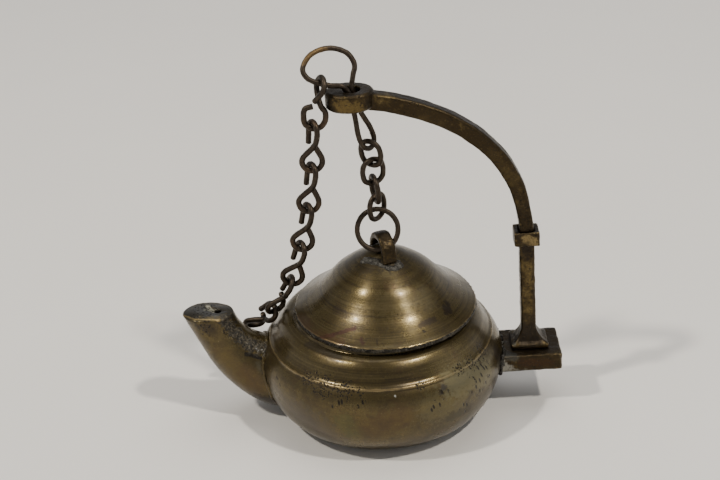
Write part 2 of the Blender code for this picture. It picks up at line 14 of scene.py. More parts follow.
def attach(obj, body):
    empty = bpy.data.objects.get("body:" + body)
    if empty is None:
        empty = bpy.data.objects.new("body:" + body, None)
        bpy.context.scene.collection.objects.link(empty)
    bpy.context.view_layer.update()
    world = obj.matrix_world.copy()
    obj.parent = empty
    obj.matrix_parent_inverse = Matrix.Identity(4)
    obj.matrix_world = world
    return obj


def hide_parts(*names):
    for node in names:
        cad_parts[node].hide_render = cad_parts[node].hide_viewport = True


bl_info = {
    "name": "Bronze Oil Lamp",
    "version": (1, 0, 0),
    "blender": (4, 5, 0),
    "location": "3D View > Sidebar > Oil Lamp",
    "description": "Dresses the packed solids of a turned bronze oil lamp",
    "category": "Object",
}

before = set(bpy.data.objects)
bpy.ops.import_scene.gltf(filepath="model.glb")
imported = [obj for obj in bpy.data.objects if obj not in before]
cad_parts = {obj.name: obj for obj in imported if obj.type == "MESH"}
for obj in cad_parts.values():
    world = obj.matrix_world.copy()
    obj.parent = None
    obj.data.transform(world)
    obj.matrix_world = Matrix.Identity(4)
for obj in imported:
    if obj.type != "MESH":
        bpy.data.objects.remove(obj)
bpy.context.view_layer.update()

MM = 0.001
FIT = 0.3 * MM
UP = Vector((0, 0, 1))
COAT_WEIGHT = 0.10
COAT_ROUGHNESS = 0.13
TURN_STEPS = 160
WIRE_SIDES = 14
SOLDER_SEED = 3

# Tones of the metal, beside those in the sidebar
BRIGHT_LINE = (0.160, 0.125, 0.058)
DARK_LINE = (0.024, 0.017, 0.009)
REDDISH = (0.066, 0.035, 0.017)
BROWN_DIRT = (0.022, 0.016, 0.009)
GOLD_FLECK = (0.24, 0.19, 0.10)
RUBBED_BRASS_AND_HIGHLIGHT = (0.30, 0.22, 0.10)
# Rubbed brass along the ridge and the lid's rim, brightened further as a painted highlight
CRUST = (0.088, 0.074, 0.048)
CRUST_PIT = (0.014, 0.012, 0.010)
CRUST_FLECK = (0.27, 0.24, 0.17)
CAST_GOLD = (0.125, 0.090, 0.036)
CAST_BROWN = (0.034, 0.024, 0.012)
CAST_EDGE = (0.22, 0.16, 0.075)
CAST_FLECK = (0.24, 0.18, 0.10)
WIRE_WORN = (0.056, 0.043, 0.030)
WIRE_REDDISH = (0.098, 0.062, 0.037)
WIRE_PIT = (0.018, 0.014, 0.012)
WIRE_GOLD = (0.20, 0.125, 0.048)
SOLDER_PIT = (0.010, 0.009, 0.008)
SOLDER_FLECK = (0.34, 0.325, 0.28)
BLACK = (0.016, 0.012, 0.008)


class LampSizes(bpy.types.PropertyGroup):
    """Sizes that change the lamp's finish."""

    wire_roughness: FloatProperty(
        name="Wire unevenness",
        description="How far the hand-drawn wire strays from round",
        default=0.06 * MM,
        unit="LENGTH",
    )
    casting_roughness: FloatProperty(
        name="Casting unevenness",
        description="Height of the bumps that the mould left on the handle",
        default=0.12 * MM,
        unit="LENGTH",
    )
    turning_waver: FloatProperty(
        name="Turning waver",
        description="How far the beaten and turned walls stray from a true circle",
        default=0.16 * MM,
        unit="LENGTH",
    )


class LampColours(bpy.types.PropertyGroup):
    """Colours of the lamp and of the table that it stands on."""

    brass: FloatVectorProperty(
        name="Worn brass",
        description="Olive-yellow metal where the patina is rubbed thin",
        subtype="COLOR",
        default=(0.117, 0.088, 0.034),
        min=0,
        max=1,
    )
    patina: FloatVectorProperty(
        name="Patina",
        description="Brown tarnish over most of the bowl and lid",
        subtype="COLOR",
        default=(0.045, 0.032, 0.0125),
        min=0,
        max=1,
    )
    grime: FloatVectorProperty(
        name="Grime",
        description="Near-black dirt in the corners and pits",
        subtype="COLOR",
        default=(0.014, 0.011, 0.008),
        min=0,
        max=1,
    )
    wire: FloatVectorProperty(
        name="Wire",
        description="Dark brown of the chains and rings",
        subtype="COLOR",
        default=(0.036, 0.027, 0.020),
        min=0,
        max=1,
    )
    solder: FloatVectorProperty(
        name="Old solder",
        description="Dull grey of the soldered joints",
        subtype="COLOR",
        default=(0.092, 0.087, 0.074),
        min=0,
        max=1,
    )
    table: FloatVectorProperty(
        name="Table",
        description="Pale surface under the lamp",
        subtype="COLOR",
        default=(0.775, 0.748, 0.70),
        min=0,
        max=1,
    )


def sizes():
    return bpy.context.scene.lamp_sizes


def colours():
    return bpy.context.scene.lamp_colours


# Shader maths


class Value:
    """A number socket that can be used in a sum."""

    def __init__(self, shade, socket):
        self.shade = shade
        self.socket = socket

    def maths(self, operation, *others):
        return self.shade.maths(operation, self, *others)

    def __add__(self, other):
        return self.maths("ADD", other)

    __radd__ = __add__

    def __sub__(self, other):
        return self.maths("SUBTRACT", other)

    def __rsub__(self, other):
        return self.shade.maths("SUBTRACT", other, self)

    def __mul__(self, other):
        return self.maths("MULTIPLY", other)

    __rmul__ = __mul__


class Shade:
    """The nodes of one material."""

    def __init__(self, name):
        self.material = bpy.data.materials.new(name)
        self.material.use_nodes = True
        self.nodes = self.material.node_tree.nodes
        self.links = self.material.node_tree.links
        self.shader = self.nodes["Principled BSDF"]

    def put(self, socket, value):
        """Set one input to a value or a link."""
        if isinstance(value, Value):
            value = value.socket
        if isinstance(value, bpy.types.NodeSocket):
            self.links.new(value, socket)
        elif hasattr(value, "__len__") and len(value) == 3 and socket.type == "RGBA":
            socket.default_value = (*value, 1.0)
        else:
            socket.default_value = value

    def node(self, kind, settings=None, output=0, **inputs):
        """Add a node, set it, feed its sockets and return one of its outputs."""
        made = self.nodes.new(kind)
        for name, value in (settings or {}).items():
            setattr(made, name, value)
        for name, value in inputs.items():
            key = name.replace("_", " ")
            found = [socket for socket in made.inputs if socket.name == key and socket.enabled]
            self.put(found[0] if found else made.inputs[int(name[1:])], value)
        if isinstance(output, str):
            named = (socket for socket in made.outputs if socket.name == output)
            return next(socket for socket in named if socket.enabled)
        return made.outputs[output]

    def maths(self, operation, *values):
        inputs = {f"i{index}": value for index, value in enumerate(values)}
        return Value(self, self.node("ShaderNodeMath", {"operation": operation}, **inputs))

    def steps(self, low, high, value):
        """A smooth step from 0 at low to 1 at high."""
        made = self.nodes.new("ShaderNodeMapRange")
        made.interpolation_type = "SMOOTHSTEP"
        self.put(made.inputs["Value"], value)
        made.inputs["From Min"].default_value = low
        made.inputs["From Max"].default_value = high
        return Value(self, made.outputs["Result"])

    def place(self):
        """Object coordinates in millimetres, which are the lamp's own."""
        found = self.node("ShaderNodeTexCoord", output="Object")
        return self.node("ShaderNodeVectorMath", {"operation": "SCALE"}, Vector=found, Scale=1000.0)

    def parts(self, vector):
        made = self.nodes.new("ShaderNodeSeparateXYZ")
        self.put(made.inputs[0], vector)
        return [Value(self, socket) for socket in made.outputs]

    def joined(self, x, y, z):
        return self.node("ShaderNodeCombineXYZ", X=x, Y=y, Z=z)

    def grain(self, vector, scale, detail=3.0, rough=0.5):
        settings = {"Vector": vector, "Scale": scale, "Detail": detail, "Roughness": rough}
        return Value(self, self.node("ShaderNodeTexNoise", **settings))

    def cells(self, vector, scale, randomness=1.0, dimensions="3D"):
        found = self.node(
            "ShaderNodeTexVoronoi",
            {"voronoi_dimensions": dimensions},
            output="Distance",
            Vector=vector,
            Scale=scale,
            Randomness=randomness,
        )
        return Value(self, found)

    def apart(self, operation, first, second):
        """One number from two vectors, such as their distance."""
        settings = {"operation": operation}
        found = self.node("ShaderNodeVectorMath", settings, output="Value", i0=first, i1=second)
        return Value(self, found)

    def mix(self, share, first, second):
        made = self.nodes.new("ShaderNodeMix")
        made.data_type = "RGBA"
        self.put(made.inputs[0], share)
        self.put(made.inputs[6], first)
        self.put(made.inputs[7], second)
        return made.outputs[2]

    def relief(self, height, distance=1.0, strength=1.0):
        """Bump from a height in millimetres."""
        return self.node("ShaderNodeBump", Height=height, Distance=distance * MM, Strength=strength)

    def finish(self, colour, roughness, normal, metallic, coat=0.0):
        self.shader.inputs["Coat Weight"].default_value = coat
        self.shader.inputs["Coat Roughness"].default_value = COAT_ROUGHNESS
        self.put(self.shader.inputs["Base Color"], colour)
        self.put(self.shader.inputs["Roughness"], roughness)
        self.put(self.shader.inputs["Metallic"], metallic)
        self.put(self.shader.inputs["Normal"], normal)
        return self.material


def away_from(shade, place, start, end):
    """Distance in millimetres from a point, or from a line between two points."""
    start, end = Vector(start), Vector(end)
    if start == end:
        return shade.apart("DISTANCE", place, start)
    line = end - start
    along = (shade.apart("DOT_PRODUCT", place, line) - start.dot(line)) * (1 / line.length_squared)
    along = shade.maths("MINIMUM", shade.maths("MAXIMUM", along, 0.0), 1.0)
    reach = shade.node("ShaderNodeVectorMath", {"operation": "SCALE"}, i0=line, Scale=along)
    nearest = shade.node("ShaderNodeVectorMath", {"operation": "ADD"}, i0=reach, i1=start)
    return shade.apart("DISTANCE", place, nearest)


def blot(shade, place, start, end, radius, raggedness):
    """1 in a ragged blot about a point or along a line, fading to 0 at its edge."""
    return shade.steps(1.15, 0.45, away_from(shade, place, start, end) * (1 / radius) + raggedness)


def area_of(shade, place, regions, ragged):
    """1 inside the listed balls, each a centre and a radius."""
    area = 0.0
    for centre, radius in regions:
        area = shade.maths("MAXIMUM", blot(shade, place, centre, centre, radius, ragged), area)
    return area


def pitting(shade, place):
    """Crowded black pits."""
    holes = shade.steps(0.48, 0.32, shade.cells(place, 1.3))
    return holes * shade.steps(0.32, 0.44, shade.grain(place, 0.8))


def nicking(shade, place):
    """Short slanted chisel nicks."""
    x, y, z = shade.parts(place)
    around = shade.maths("ARCTAN2", y, x) * 40.0
    lean = math.radians(16)
    across = around * math.cos(lean) + z * math.sin(lean)
    along = around * math.sin(lean) - z * math.cos(lean)
    strokes = shade.cells(shade.joined(across * 0.62, along * 0.26, 0.0), 1.0, 0.8, "2D")
    return shade.steps(0.27, 0.16, strokes)


def turned_bronze(name, centre_x, lined, marks, pitted=(), nicked=(), crusted=(), rubbed_and_highlight_line=None):
    """Turned and rubbed bronze: turning lines about a centre, patina, pits, nicks, crust, and a
    line of rubbed brass with a painted highlight.
    """
    shade = Shade(name)
    tint = colours()
    place = shade.place()
    x, y, z = shade.parts(place)
    x = x - centre_x
    radius = shade.maths("SQRT", x * x + y * y)
    wander = shade.grain(place, 0.05, 2.0)
    lines = shade.grain(shade.joined(radius * 1.7, z * 1.7, wander * 3.0), 1.0, 4.0, 0.62)
    coarse = shade.grain(shade.joined(radius * 0.5, z * 0.5, wander * 1.5), 1.0, 3.0, 0.6)
    show = shade.steps(lined - 2.0, lined + 1.0, z) * 0.8 + 0.2
    cloud = shade.grain(place, 0.055, 5.0, 0.62)
    mottle = shade.grain(place, 0.32, 6.0, 0.68)
    speckle = shade.grain(place, 1.7, 4.0, 0.72)
    tarnish = shade.steps(0.34, 0.66, cloud * 0.45 + mottle * 0.40 + coarse * 0.15)
    colour = shade.mix(tarnish, tint.brass, tint.patina)
    colour = shade.mix(shade.steps(0.50, 0.68, lines) * show * 0.35, colour, BRIGHT_LINE)
    colour = shade.mix(shade.steps(0.47, 0.34, lines) * show * 0.55, colour, DARK_LINE)
    reddish = shade.steps(0.54, 0.72, shade.grain(place, 0.13, 5.0, 0.72)) * 0.45
    colour = shade.mix(reddish, colour, REDDISH)
    dirt = shade.steps(0.53, 0.68, speckle) * 0.6
    colour = shade.mix(dirt, colour, BROWN_DIRT)
    glint = shade.steps(0.40, 0.30, speckle) * 0.4
    colour = shade.mix(glint, colour, GOLD_FLECK)
    height = (lines * 0.009 + coarse * 0.012) * show + mottle * 0.05 + speckle * 0.012
    rough = 0.25 + tarnish * 0.08 + dirt * 0.10
    metallic = 0.86 - tarnish * 0.22 - dirt * 0.2
    ragged = (shade.grain(place, 0.75, 5.0, 0.72) - 0.5) * 3.0
    # A thin band of rubbed brass round a ring line, made brighter as a painted highlight where the
    # edge catches the lamps
    if rubbed_and_highlight_line:
        beside = radius - rubbed_and_highlight_line[0]
        above = z - rubbed_and_highlight_line[1]
        near = shade.maths("SQRT", beside * beside + above * above)
        edge = shade.steps(0.60, 0.15, near + (mottle - 0.5) * 1.5)
        colour = shade.mix(edge * 0.5, colour, RUBBED_BRASS_AND_HIGHLIGHT)
    for start, end, size, tone, strength in marks:
        patch = blot(shade, place, start, end, size, ragged)
        colour = shade.mix(patch * strength, colour, tone)
        rough = rough + patch * 0.10 * strength
    if pitted:
        area = shade.steps(0.1, 0.5, area_of(shade, place, pitted, ragged))
        holes = pitting(shade, place) * area
        colour = shade.mix(holes * 0.95, colour, tint.grime)
        height = height - holes * 0.2
        rough = rough + holes * 0.2
    if nicked:
        area = shade.steps(0.3, 0.6, area_of(shade, place, nicked, ragged))
        cuts = nicking(shade, place) * area
        colour = shade.mix(cuts * 0.92, colour, tint.grime)
        height = height - cuts * 0.12
    if crusted:
        crust = 0.0
        for start, end, size in crusted:
            crust = shade.maths("MAXIMUM", blot(shade, place, start, end, size, ragged), crust)
        grit = shade.grain(place, 1.3, 6.0, 0.78)
        colour = shade.mix(crust * 0.95, colour, CRUST)
        colour = shade.mix(crust * shade.steps(0.46, 0.56, grit), colour, CRUST_PIT)
        colour = shade.mix(crust * shade.steps(0.42, 0.35, grit), colour, CRUST_FLECK)
        height = height + crust * grit * 0.55
        rough = rough + crust * 0.15
        metallic = metallic - crust * 0.35
    return shade.finish(colour, rough, shade.relief(height), metallic, COAT_WEIGHT)


def cast_bronze(name, brighter, marks=()):
    """Cast bronze: dark in the hollows, rubbed brown-gold along the edges."""
    shade = Shade(name)
    tint = colours()
    place = shade.place()
    cloud = shade.grain(place, 0.13, 5.0, 0.65)
    mottle = shade.grain(place, 0.6, 6.0, 0.70)
    speckle = shade.grain(place, 2.0, 4.0, 0.72)
    worn = Value(shade, shade.node("ShaderNodeNewGeometry", output="Pointiness"))
    edges = shade.steps(0.51, 0.58, worn + (mottle - 0.5) * 0.08)
    hollow = shade.steps(0.495, 0.44, worn)
    brown = shade.steps(0.38, 0.58, cloud * 0.6 + mottle * 0.4 - brighter)
    colour = shade.mix(brown, CAST_GOLD, CAST_BROWN)
    ragged = (shade.grain(place, 0.5, 5.0, 0.72) - 0.5) * 3.0
    for start, end, size, tone, strength in marks:
        colour = shade.mix(blot(shade, place, start, end, size, ragged) * strength, colour, tone)
    colour = shade.mix(edges * 0.5, colour, CAST_EDGE)
    colour = shade.mix(hollow * 0.8, colour, tint.grime)
    dirt = shade.steps(0.50, 0.66, speckle)
    colour = shade.mix(dirt * 0.65, colour, tint.grime)
    colour = shade.mix(shade.steps(0.40, 0.30, speckle) * 0.35, colour, CAST_FLECK)
    pits = shade.steps(0.34, 0.18, shade.cells(place, 1.0)) * shade.steps(0.48, 0.6, mottle)
    colour = shade.mix(pits * 0.8, colour, tint.grime)
    height = mottle * 0.14 + speckle * 0.045 - pits * 0.12
    rough = 0.36 + dirt * 0.16 - edges * 0.05
    metallic = 0.96 - dirt * 0.2
    return shade.finish(colour, rough, shade.relief(height), metallic)


def dark_wire():
    """Drawn wire, tarnished dark brown with rubbed high spots."""
    found = bpy.data.materials.get("dark wire")
    if found:
        return found
    shade = Shade("dark wire")
    tint = colours()
    place = shade.place()
    cloud = shade.grain(place, 0.14, 4.0, 0.6)
    mottle = shade.grain(place, 0.9, 5.0, 0.65)
    speckle = shade.grain(place, 3.0, 3.0, 0.7)
    colour = shade.mix(shade.steps(0.40, 0.62, mottle), WIRE_WORN, tint.wire)
    colour = shade.mix(shade.steps(0.52, 0.68, cloud) * 0.5, colour, WIRE_REDDISH)
    colour = shade.mix(shade.steps(0.5, 0.68, speckle) * 0.65, colour, WIRE_PIT)
    rubbed = (-16.5, 4.0, 125.6)
    gold = blot(shade, place, rubbed, rubbed, 5.5, (mottle - 0.5) * 1.4)
    colour = shade.mix(gold * 0.5, colour, WIRE_GOLD)
    height = mottle * 0.09 + speckle * 0.03
    rough = 0.36 + speckle * 0.2
    return shade.finish(colour, rough, shade.relief(height), 0.9)


def old_solder(name, tone, dark):
    """Dull crusted solder with black pits and grey glints."""
    shade = Shade(name)
    place = shade.place()
    mottle = shade.grain(place, 0.7, 6.0, 0.7)
    fine = shade.grain(place, 2.0, 5.0, 0.75)
    colour = shade.mix(shade.steps(0.42, 0.58, mottle), tone, dark)
    colour = shade.mix(shade.steps(0.50, 0.60, fine), colour, SOLDER_PIT)
    colour = shade.mix(shade.steps(0.38, 0.30, fine), colour, SOLDER_FLECK)
    height = mottle * 0.25 + fine * 0.2
    rough = 0.40 + fine * 0.3
    return shade.finish(colour, rough, shade.relief(height), 0.75)


# Mesh making


def keep(name, mesh, *finishes):
    """Put a finished mesh in the scene."""
    for finish in finishes:
        mesh.materials.append(finish)
    mesh.shade_smooth()
    obj = bpy.data.objects.new(name, mesh)
    bpy.context.scene.collection.objects.link(obj)
    return obj


def mesh_from(bm, name):
    bmesh.ops.recalc_face_normals(bm, faces=bm.faces)
    mesh = bpy.data.meshes.new(name)
    bm.to_mesh(mesh)
    bm.free()
    return mesh


def smooth_path(points, steps, closed=False):
    """Points of a Catmull-Rom curve through the given ones."""
    points = [Vector(point) for point in points]
    count = len(points)
    found = []
    for span in range(count if closed else count - 1):
        if closed:
            p0, p1, p2, p3 = (points[(span + i - 1) % count] for i in range(4))
        else:
            p0, p1, p2, p3 = (points[min(max(span + i - 1, 0), count - 1)] for i in range(4))
        for step in range(steps):
            t = step / steps
            a = 2 * p1 + (p2 - p0) * t
            b = (2 * p0 - 5 * p1 + 4 * p2 - p3) * t**2
            c = (3 * p1 - p0 - 3 * p2 + p3) * t**3
            found.append(0.5 * (a + b + c))
    if not closed:
        found.append(points[-1])
    return found


def ellipse_arc(centre, radii, start, end, steps):
    """Points (r, z) of an elliptic arc, its angles in degrees from the +r direction."""
    angles = [math.radians(start + (end - start) * step / steps) for step in range(steps + 1)]
    (r, z), (wide, high) = centre, radii
    return [(r + wide * math.cos(angle), z + high * math.sin(angle)) for angle in angles]


def circle_points(centre, across, along, radius, steps):
    centre, across, along = Vector(centre), Vector(across), Vector(along)
    spokes = []
    for step in range(steps):
        angle = math.tau * step / steps
        spokes.append(across * math.cos(angle) + along * math.sin(angle))
    return [centre + radius * spoke for spoke in spokes]


def turned(name, profile):
    """A solid turned about Z; its profile of (radius, height) starts and ends on the axis."""
    bm = bmesh.new()
    verts = [bm.verts.new((radius, 0, height)) for radius, height in profile]
    edges = [bm.edges.new(pair) for pair in zip(verts, verts[1:])]
    bmesh.ops.spin(
        bm,
        geom=verts + edges,
        cent=(0, 0, 0),
        axis=UP,
        angle=math.tau,
        steps=TURN_STEPS,
        use_merge=True,
    )
    bmesh.ops.remove_doubles(bm, verts=bm.verts, dist=1e-6)
    return mesh_from(bm, name)


def loft(name, rings):
    """A closed solid through rings of equally many points, with flat ends."""
    bm = bmesh.new()
    rows = [[bm.verts.new(point) for point in ring] for ring in rings]
    for row, after in zip(rows, rows[1:]):
        for i in range(len(row)):
            j = (i + 1) % len(row)
            bm.faces.new((row[i], row[j], after[j], after[i]))
    bm.faces.new(rows[0])
    bm.faces.new(rows[-1])
    return mesh_from(bm, name)


def gentle_bumps(place, depth=3):
    return noise.fractal(place, 0.9, 2.1, depth)


def lively_bumps(place):
    return noise.fractal(place, 0.8, 2.2, 4)


def roughen(obj, height, scale, seed, depth=3):
    """Move each point of a mesh along its normal by a smooth noise."""
    mesh = obj.data
    normals = [vertex.normal.copy() for vertex in mesh.vertices]
    for vertex, normal in zip(mesh.vertices, normals):
        place = vertex.co / MM * scale + Vector((seed, seed, seed))
        vertex.co += normal * height * gentle_bumps(place, depth)
    mesh.update()


def apply_modifiers(obj):
    graph = bpy.context.evaluated_depsgraph_get()
    mesh = bpy.data.meshes.new_from_object(obj.evaluated_get(graph))
    obj.modifiers.clear()
    obj.data = mesh
    return obj


def cut(obj, other, operation="DIFFERENCE"):
    """Apply an exact Boolean and remove its cutter."""
    step = obj.modifiers.new("cut", "BOOLEAN")
    step.operation = operation
    step.object = other
    step.solver = "EXACT"
    bpy.context.view_layer.update()
    apply_modifiers(obj)
    bpy.data.objects.remove(other, do_unlink=True)


def cast_skin(obj, voxel, rounding):
    """Give a sharp solid the soft edges of a casting."""
    step = obj.modifiers.new("skin", "REMESH")
    step.mode = "VOXEL"
    step.voxel_size = voxel
    soft = obj.modifiers.new("soft", "SMOOTH")
    soft.iterations = rounding
    soft.factor = 0.5
    bpy.context.view_layer.update()
    apply_modifiers(obj)
    obj.data.shade_smooth()


def drill(obj, name, outline, reach):
    """Cut a straight hole through an outline, a reach to either side of it."""
    rings = [[point - reach for point in outline], [point + reach for point in outline]]
    cut(obj, keep(name, loft(name, rings)))


def wire(name, points, diameter, closed):
    """A round wire along the points, a little uneven along its length."""
    count = len(points)
    bm = bmesh.new()
    rows = []
    normal = None
    frames = []
    for index, point in enumerate(points):
        before = points[(index - 1) % count] if closed or index else point
        after = points[(index + 1) % count] if closed or index < count - 1 else point
        heading = (after - before).normalized()
        if normal is None:
            normal = heading.orthogonal()
        normal = (normal - heading * normal.dot(heading)).normalized()
        frames.append((point, heading, normal.copy()))
    twist = 0.0
    if closed:
        _, start, first = frames[0]
        last = frames[-1][2]
        carried = (last - start * last.dot(start)).normalized()
        twist = math.atan2(first.cross(carried).dot(start), first.dot(carried))
    for index, (point, heading, normal) in enumerate(frames):
        normal = Matrix.Rotation(-twist * index / count, 3, heading) @ normal
        side = heading.cross(normal)
        row = []
        for step in range(WIRE_SIDES):
            angle = math.tau * step / WIRE_SIDES
            spoke = normal * math.cos(angle) + side * math.sin(angle)
            place = point + spoke * diameter / 2
            place += spoke * sizes().wire_roughness * gentle_bumps(place / MM * 0.7)
            row.append(bm.verts.new(place))
        rows.append(row)
    pairs = list(zip(rows, rows[1:]))
    if closed:
        pairs.append((rows[-1], rows[0]))
    for row, after in pairs:
        for i in range(WIRE_SIDES):
            j = (i + 1) % WIRE_SIDES
            bm.faces.new((row[i], row[j], after[j], after[i]))
    if not closed:
        for row, sign, (point, heading, _) in ((rows[0], -1, frames[0]), (rows[-1], 1, frames[-1])):
            centre = bm.verts.new(point + heading * sign * 0.12 * diameter)
            rise = heading * sign * 0.08 * diameter
            inner = [bm.verts.new(vert.co.lerp(centre.co, 0.2) + rise) for vert in row]
            for i in range(WIRE_SIDES):
                j = (i + 1) % WIRE_SIDES
                bm.faces.new((row[i], row[j], inner[j], inner[i]))
                bm.faces.new((inner[i], inner[j], centre))
    return keep(name, mesh_from(bm, name), dark_wire())


def stands_for(piece, *nodes, slot):
    """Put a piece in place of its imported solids."""
    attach(piece, "root")
    if nodes:
        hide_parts(*nodes)
    return piece


# Bowl

BASE_RADIUS = 26.0 * MM
BOWL_RADIUS = 40.1 * MM
BELLY_HEIGHT = 20.0 * MM
RIDGE_HEIGHT = 28.25 * MM
RIDGE_LIP = 0.35 * MM
UPPER_WALL_CURVE = 12.0 * MM
SHOULDER_HEIGHT = 35.4 * MM
RIM_HEIGHT = 36.6 * MM
MOUTH_RADIUS = 26.6 * MM
RIM_WIDTH = 1.6 * MM
WALL = 1.6 * MM
FLOOR = 2.0 * MM
PORT_HEIGHT = 15.0 * MM
PORT_RADIUS = 6.0 * MM


def bowl_wall(out=0.0, steps=30):
    """The belly's profile from the base to just under the ridge, moved out by a distance."""
    middle = (BASE_RADIUS, BELLY_HEIGHT)
    wide = BOWL_RADIUS - BASE_RADIUS + out
    lower = ellipse_arc(middle, (wide, BELLY_HEIGHT + out), -90, 0, steps)
    rise = RIDGE_HEIGHT - 2 * RIDGE_LIP - BELLY_HEIGHT
    top_angle = math.degrees(math.asin(rise / UPPER_WALL_CURVE))
    return lower + ellipse_arc(middle, (wide, UPPER_WALL_CURVE + out), 0, top_angle, 14)[1:]


def belly_radius(height):
    """Radius of the belly's lower half at a height."""
    below = (BELLY_HEIGHT - height) / BELLY_HEIGHT
    return BASE_RADIUS + (BOWL_RADIUS - BASE_RADIUS) * math.sqrt(max(0.0, 1 - below**2))


def shoulder(out):
    """The ogee from the ridge to the foot of the rim, moved out by a distance."""
    ridge_radius = bowl_wall()[-1][0]
    rise = SHOULDER_HEIGHT - RIDGE_HEIGHT
    run = ridge_radius - MOUTH_RADIUS - RIM_WIDTH
    shares = ((0.14, 0.10), (0.27, 0.34), (0.42, 0.64), (0.62, 0.90), (0.82, 1.0))
    points = []
    for share, up in shares:
        points.append((ridge_radius - share * run + out, 0, RIDGE_HEIGHT + up * rise + out))
    return [(point.x, point.z) for point in smooth_path(points, 6)]


def outer_bowl(out=0.0):
    wall = bowl_wall(out)
    radius = bowl_wall()[-1][0] + out
    ridge = [
        (radius + 0.06 * MM, RIDGE_HEIGHT - 0.47 * MM),
        (radius + 0.02 * MM, RIDGE_HEIGHT - 0.23 * MM),
        (radius - 0.12 * MM, RIDGE_HEIGHT - 0.07 * MM),
        (radius - 0.50 * MM, RIDGE_HEIGHT + 0.11 * MM),
    ]
    return wall + ridge + shoulder(out)


def bowl_cutter(out):
    profile = [(0, -WALL), (BASE_RADIUS, -WALL)] + outer_bowl(out) + [(0, SHOULDER_HEIGHT)]
    return keep("bowl cutter", turned("bowl cutter", profile))


def make_bowl():
    rim_foot = MOUTH_RADIUS + RIM_WIDTH
    outside = [(0, 0), (BASE_RADIUS * 0.5, 0)] + outer_bowl()
    outside += [(rim_foot + 0.4 * MM, SHOULDER_HEIGHT), (rim_foot, SHOULDER_HEIGHT + 0.3 * MM)]
    outside += [(rim_foot, RIM_HEIGHT - 0.3 * MM), (rim_foot - 0.3 * MM, RIM_HEIGHT)]
    outside += [(MOUTH_RADIUS + 0.3 * MM, RIM_HEIGHT), (MOUTH_RADIUS, RIM_HEIGHT - 0.3 * MM)]
    inner_shoulder = shoulder(-WALL)
    inside = [(MOUTH_RADIUS, inner_shoulder[-1][1])] + inner_shoulder[1:-1][::-1]
    inside += bowl_wall(-WALL, 16)[1:][::-1]
    inside = [point for point in inside if point[1] > FLOOR]
    inside += [(BASE_RADIUS, FLOOR), (0, FLOOR)]
    marks = (
        ((-20.0, -33.5, 11.0), (-27.0, -28.0, 15.0), 7.0, (0.066, 0.054, 0.038), 0.5),
        ((-13.0, -37.3, 17.5), (-11.0, -37.6, 13.0), 4.0, (0.070, 0.074, 0.026), 0.4),
        ((-5.0, -39.0, 15.0), (4.0, -39.5, 19.5), 6.0, (0.070, 0.040, 0.017), 0.4),
        ((22.0, -31.0, 25.0), (33.0, -22.0, 23.0), 6.0, (0.165, 0.148, 0.082), 0.55),
        ((24.0, -31.0, 17.0), (15.0, -36.0, 20.0), 6.5, (0.120, 0.105, 0.052), 0.4),
        ((20.2, -33.5, 14.5), (26.0, -29.0, 14.5), 2.6, (0.038, 0.030, 0.016), 0.7),
        ((18.3, -33.6, 25.7), (18.9, -33.3, 25.2), 1.0, (0.050, 0.042, 0.032), 0.9),
        ((17.2, -35.1, 24.2), (17.2, -35.1, 24.2), 0.7, (0.050, 0.042, 0.032), 0.9),
        ((27.5, -28.5, 20.0), (26.0, -30.5, 18.0), 1.3, (0.060, 0.048, 0.030), 0.8),
        ((-33.5, -21.3, 22.5), (-32.6, -22.9, 20.6), 0.35, BLACK, 0.95),
        ((-34.6, -19.2, 23.6), (-34.0, -20.0, 23.4), 0.5, BLACK, 0.9),
        ((37.6, -12.0, 24.0), (38.5, -10.0, 17.0), 3.4, (0.030, 0.022, 0.014), 0.85),
        ((-39.0, -9.0, 22.0), (-38.0, -11.0, 15.0), 2.4, (0.040, 0.032, 0.022), 0.6),
        ((3.0, -37.9, 26.4), (3.1, -37.9, 25.9), 0.35, (0.45, 0.45, 0.40), 0.9),
        ((-23.0, -19.0, 35.0), (-14.0, -27.5, 34.6), 2.2, (0.030, 0.022, 0.013), 0.7),
    )
    pitted = (
        ((-24.5, -27.0, 28.0), 2.6),
        ((-21.5, -29.5, 27.4), 3.6),
        ((-17.5, -32.2, 27.0), 3.8),
        ((-12.5, -34.6, 27.4), 3.4),
        ((-7.5, -36.4, 27.4), 2.0),
        ((11.0, -35.4, 27.6), 1.8),
        ((24.0, -28.3, 28.4), 2.4),
        ((28.0, -24.5, 28.6), 3.0),
        ((32.5, -18.5, 28.4), 3.2),
    )
    nicked = (
        ((31.5, -23.5, 23.5), 5.6),
        ((29.5, -26.9, 20.4), 4.0),
        ((18.2, -34.2, 24.0), 2.4),
        ((15.4, -36.6, 20.8), 2.8),
        ((25.5, -30.5, 16.6), 3.4),
        ((-15.0, -36.2, 23.8), 3.6),
        ((-8.0, -37.9, 24.6), 1.8),
        ((14.5, -36.9, 14.6), 1.2),
    )
    # The ridge carries rubbed brass with a painted highlight along it
    ridge = (bowl_wall()[-1][0] / MM, RIDGE_HEIGHT / MM - 0.2)
    lined_from = 29.0
    finish = turned_bronze(
        "turned bronze bowl", 0.0, lined_from, marks, pitted, nicked, rubbed_and_highlight_line=ridge
    )
    bowl = keep("lamp_bowl", turned("lamp_bowl", outside + inside), finish)
    port = circle_points((0, 0, PORT_HEIGHT), (0, 1, 0), UP, PORT_RADIUS, 40)
    ends = (-BOWL_RADIUS - WALL, -BASE_RADIUS)
    rings = [[point + Vector((x, 0, 0)) for point in port] for x in ends]
    cut(bowl, keep("port cutter", loft("port cutter", rings)))
    roughen(bowl, sizes().turning_waver, 0.07, 3.1, 2)
    return stands_for(bowl, "body", slot="turned_bronze")


# Lid

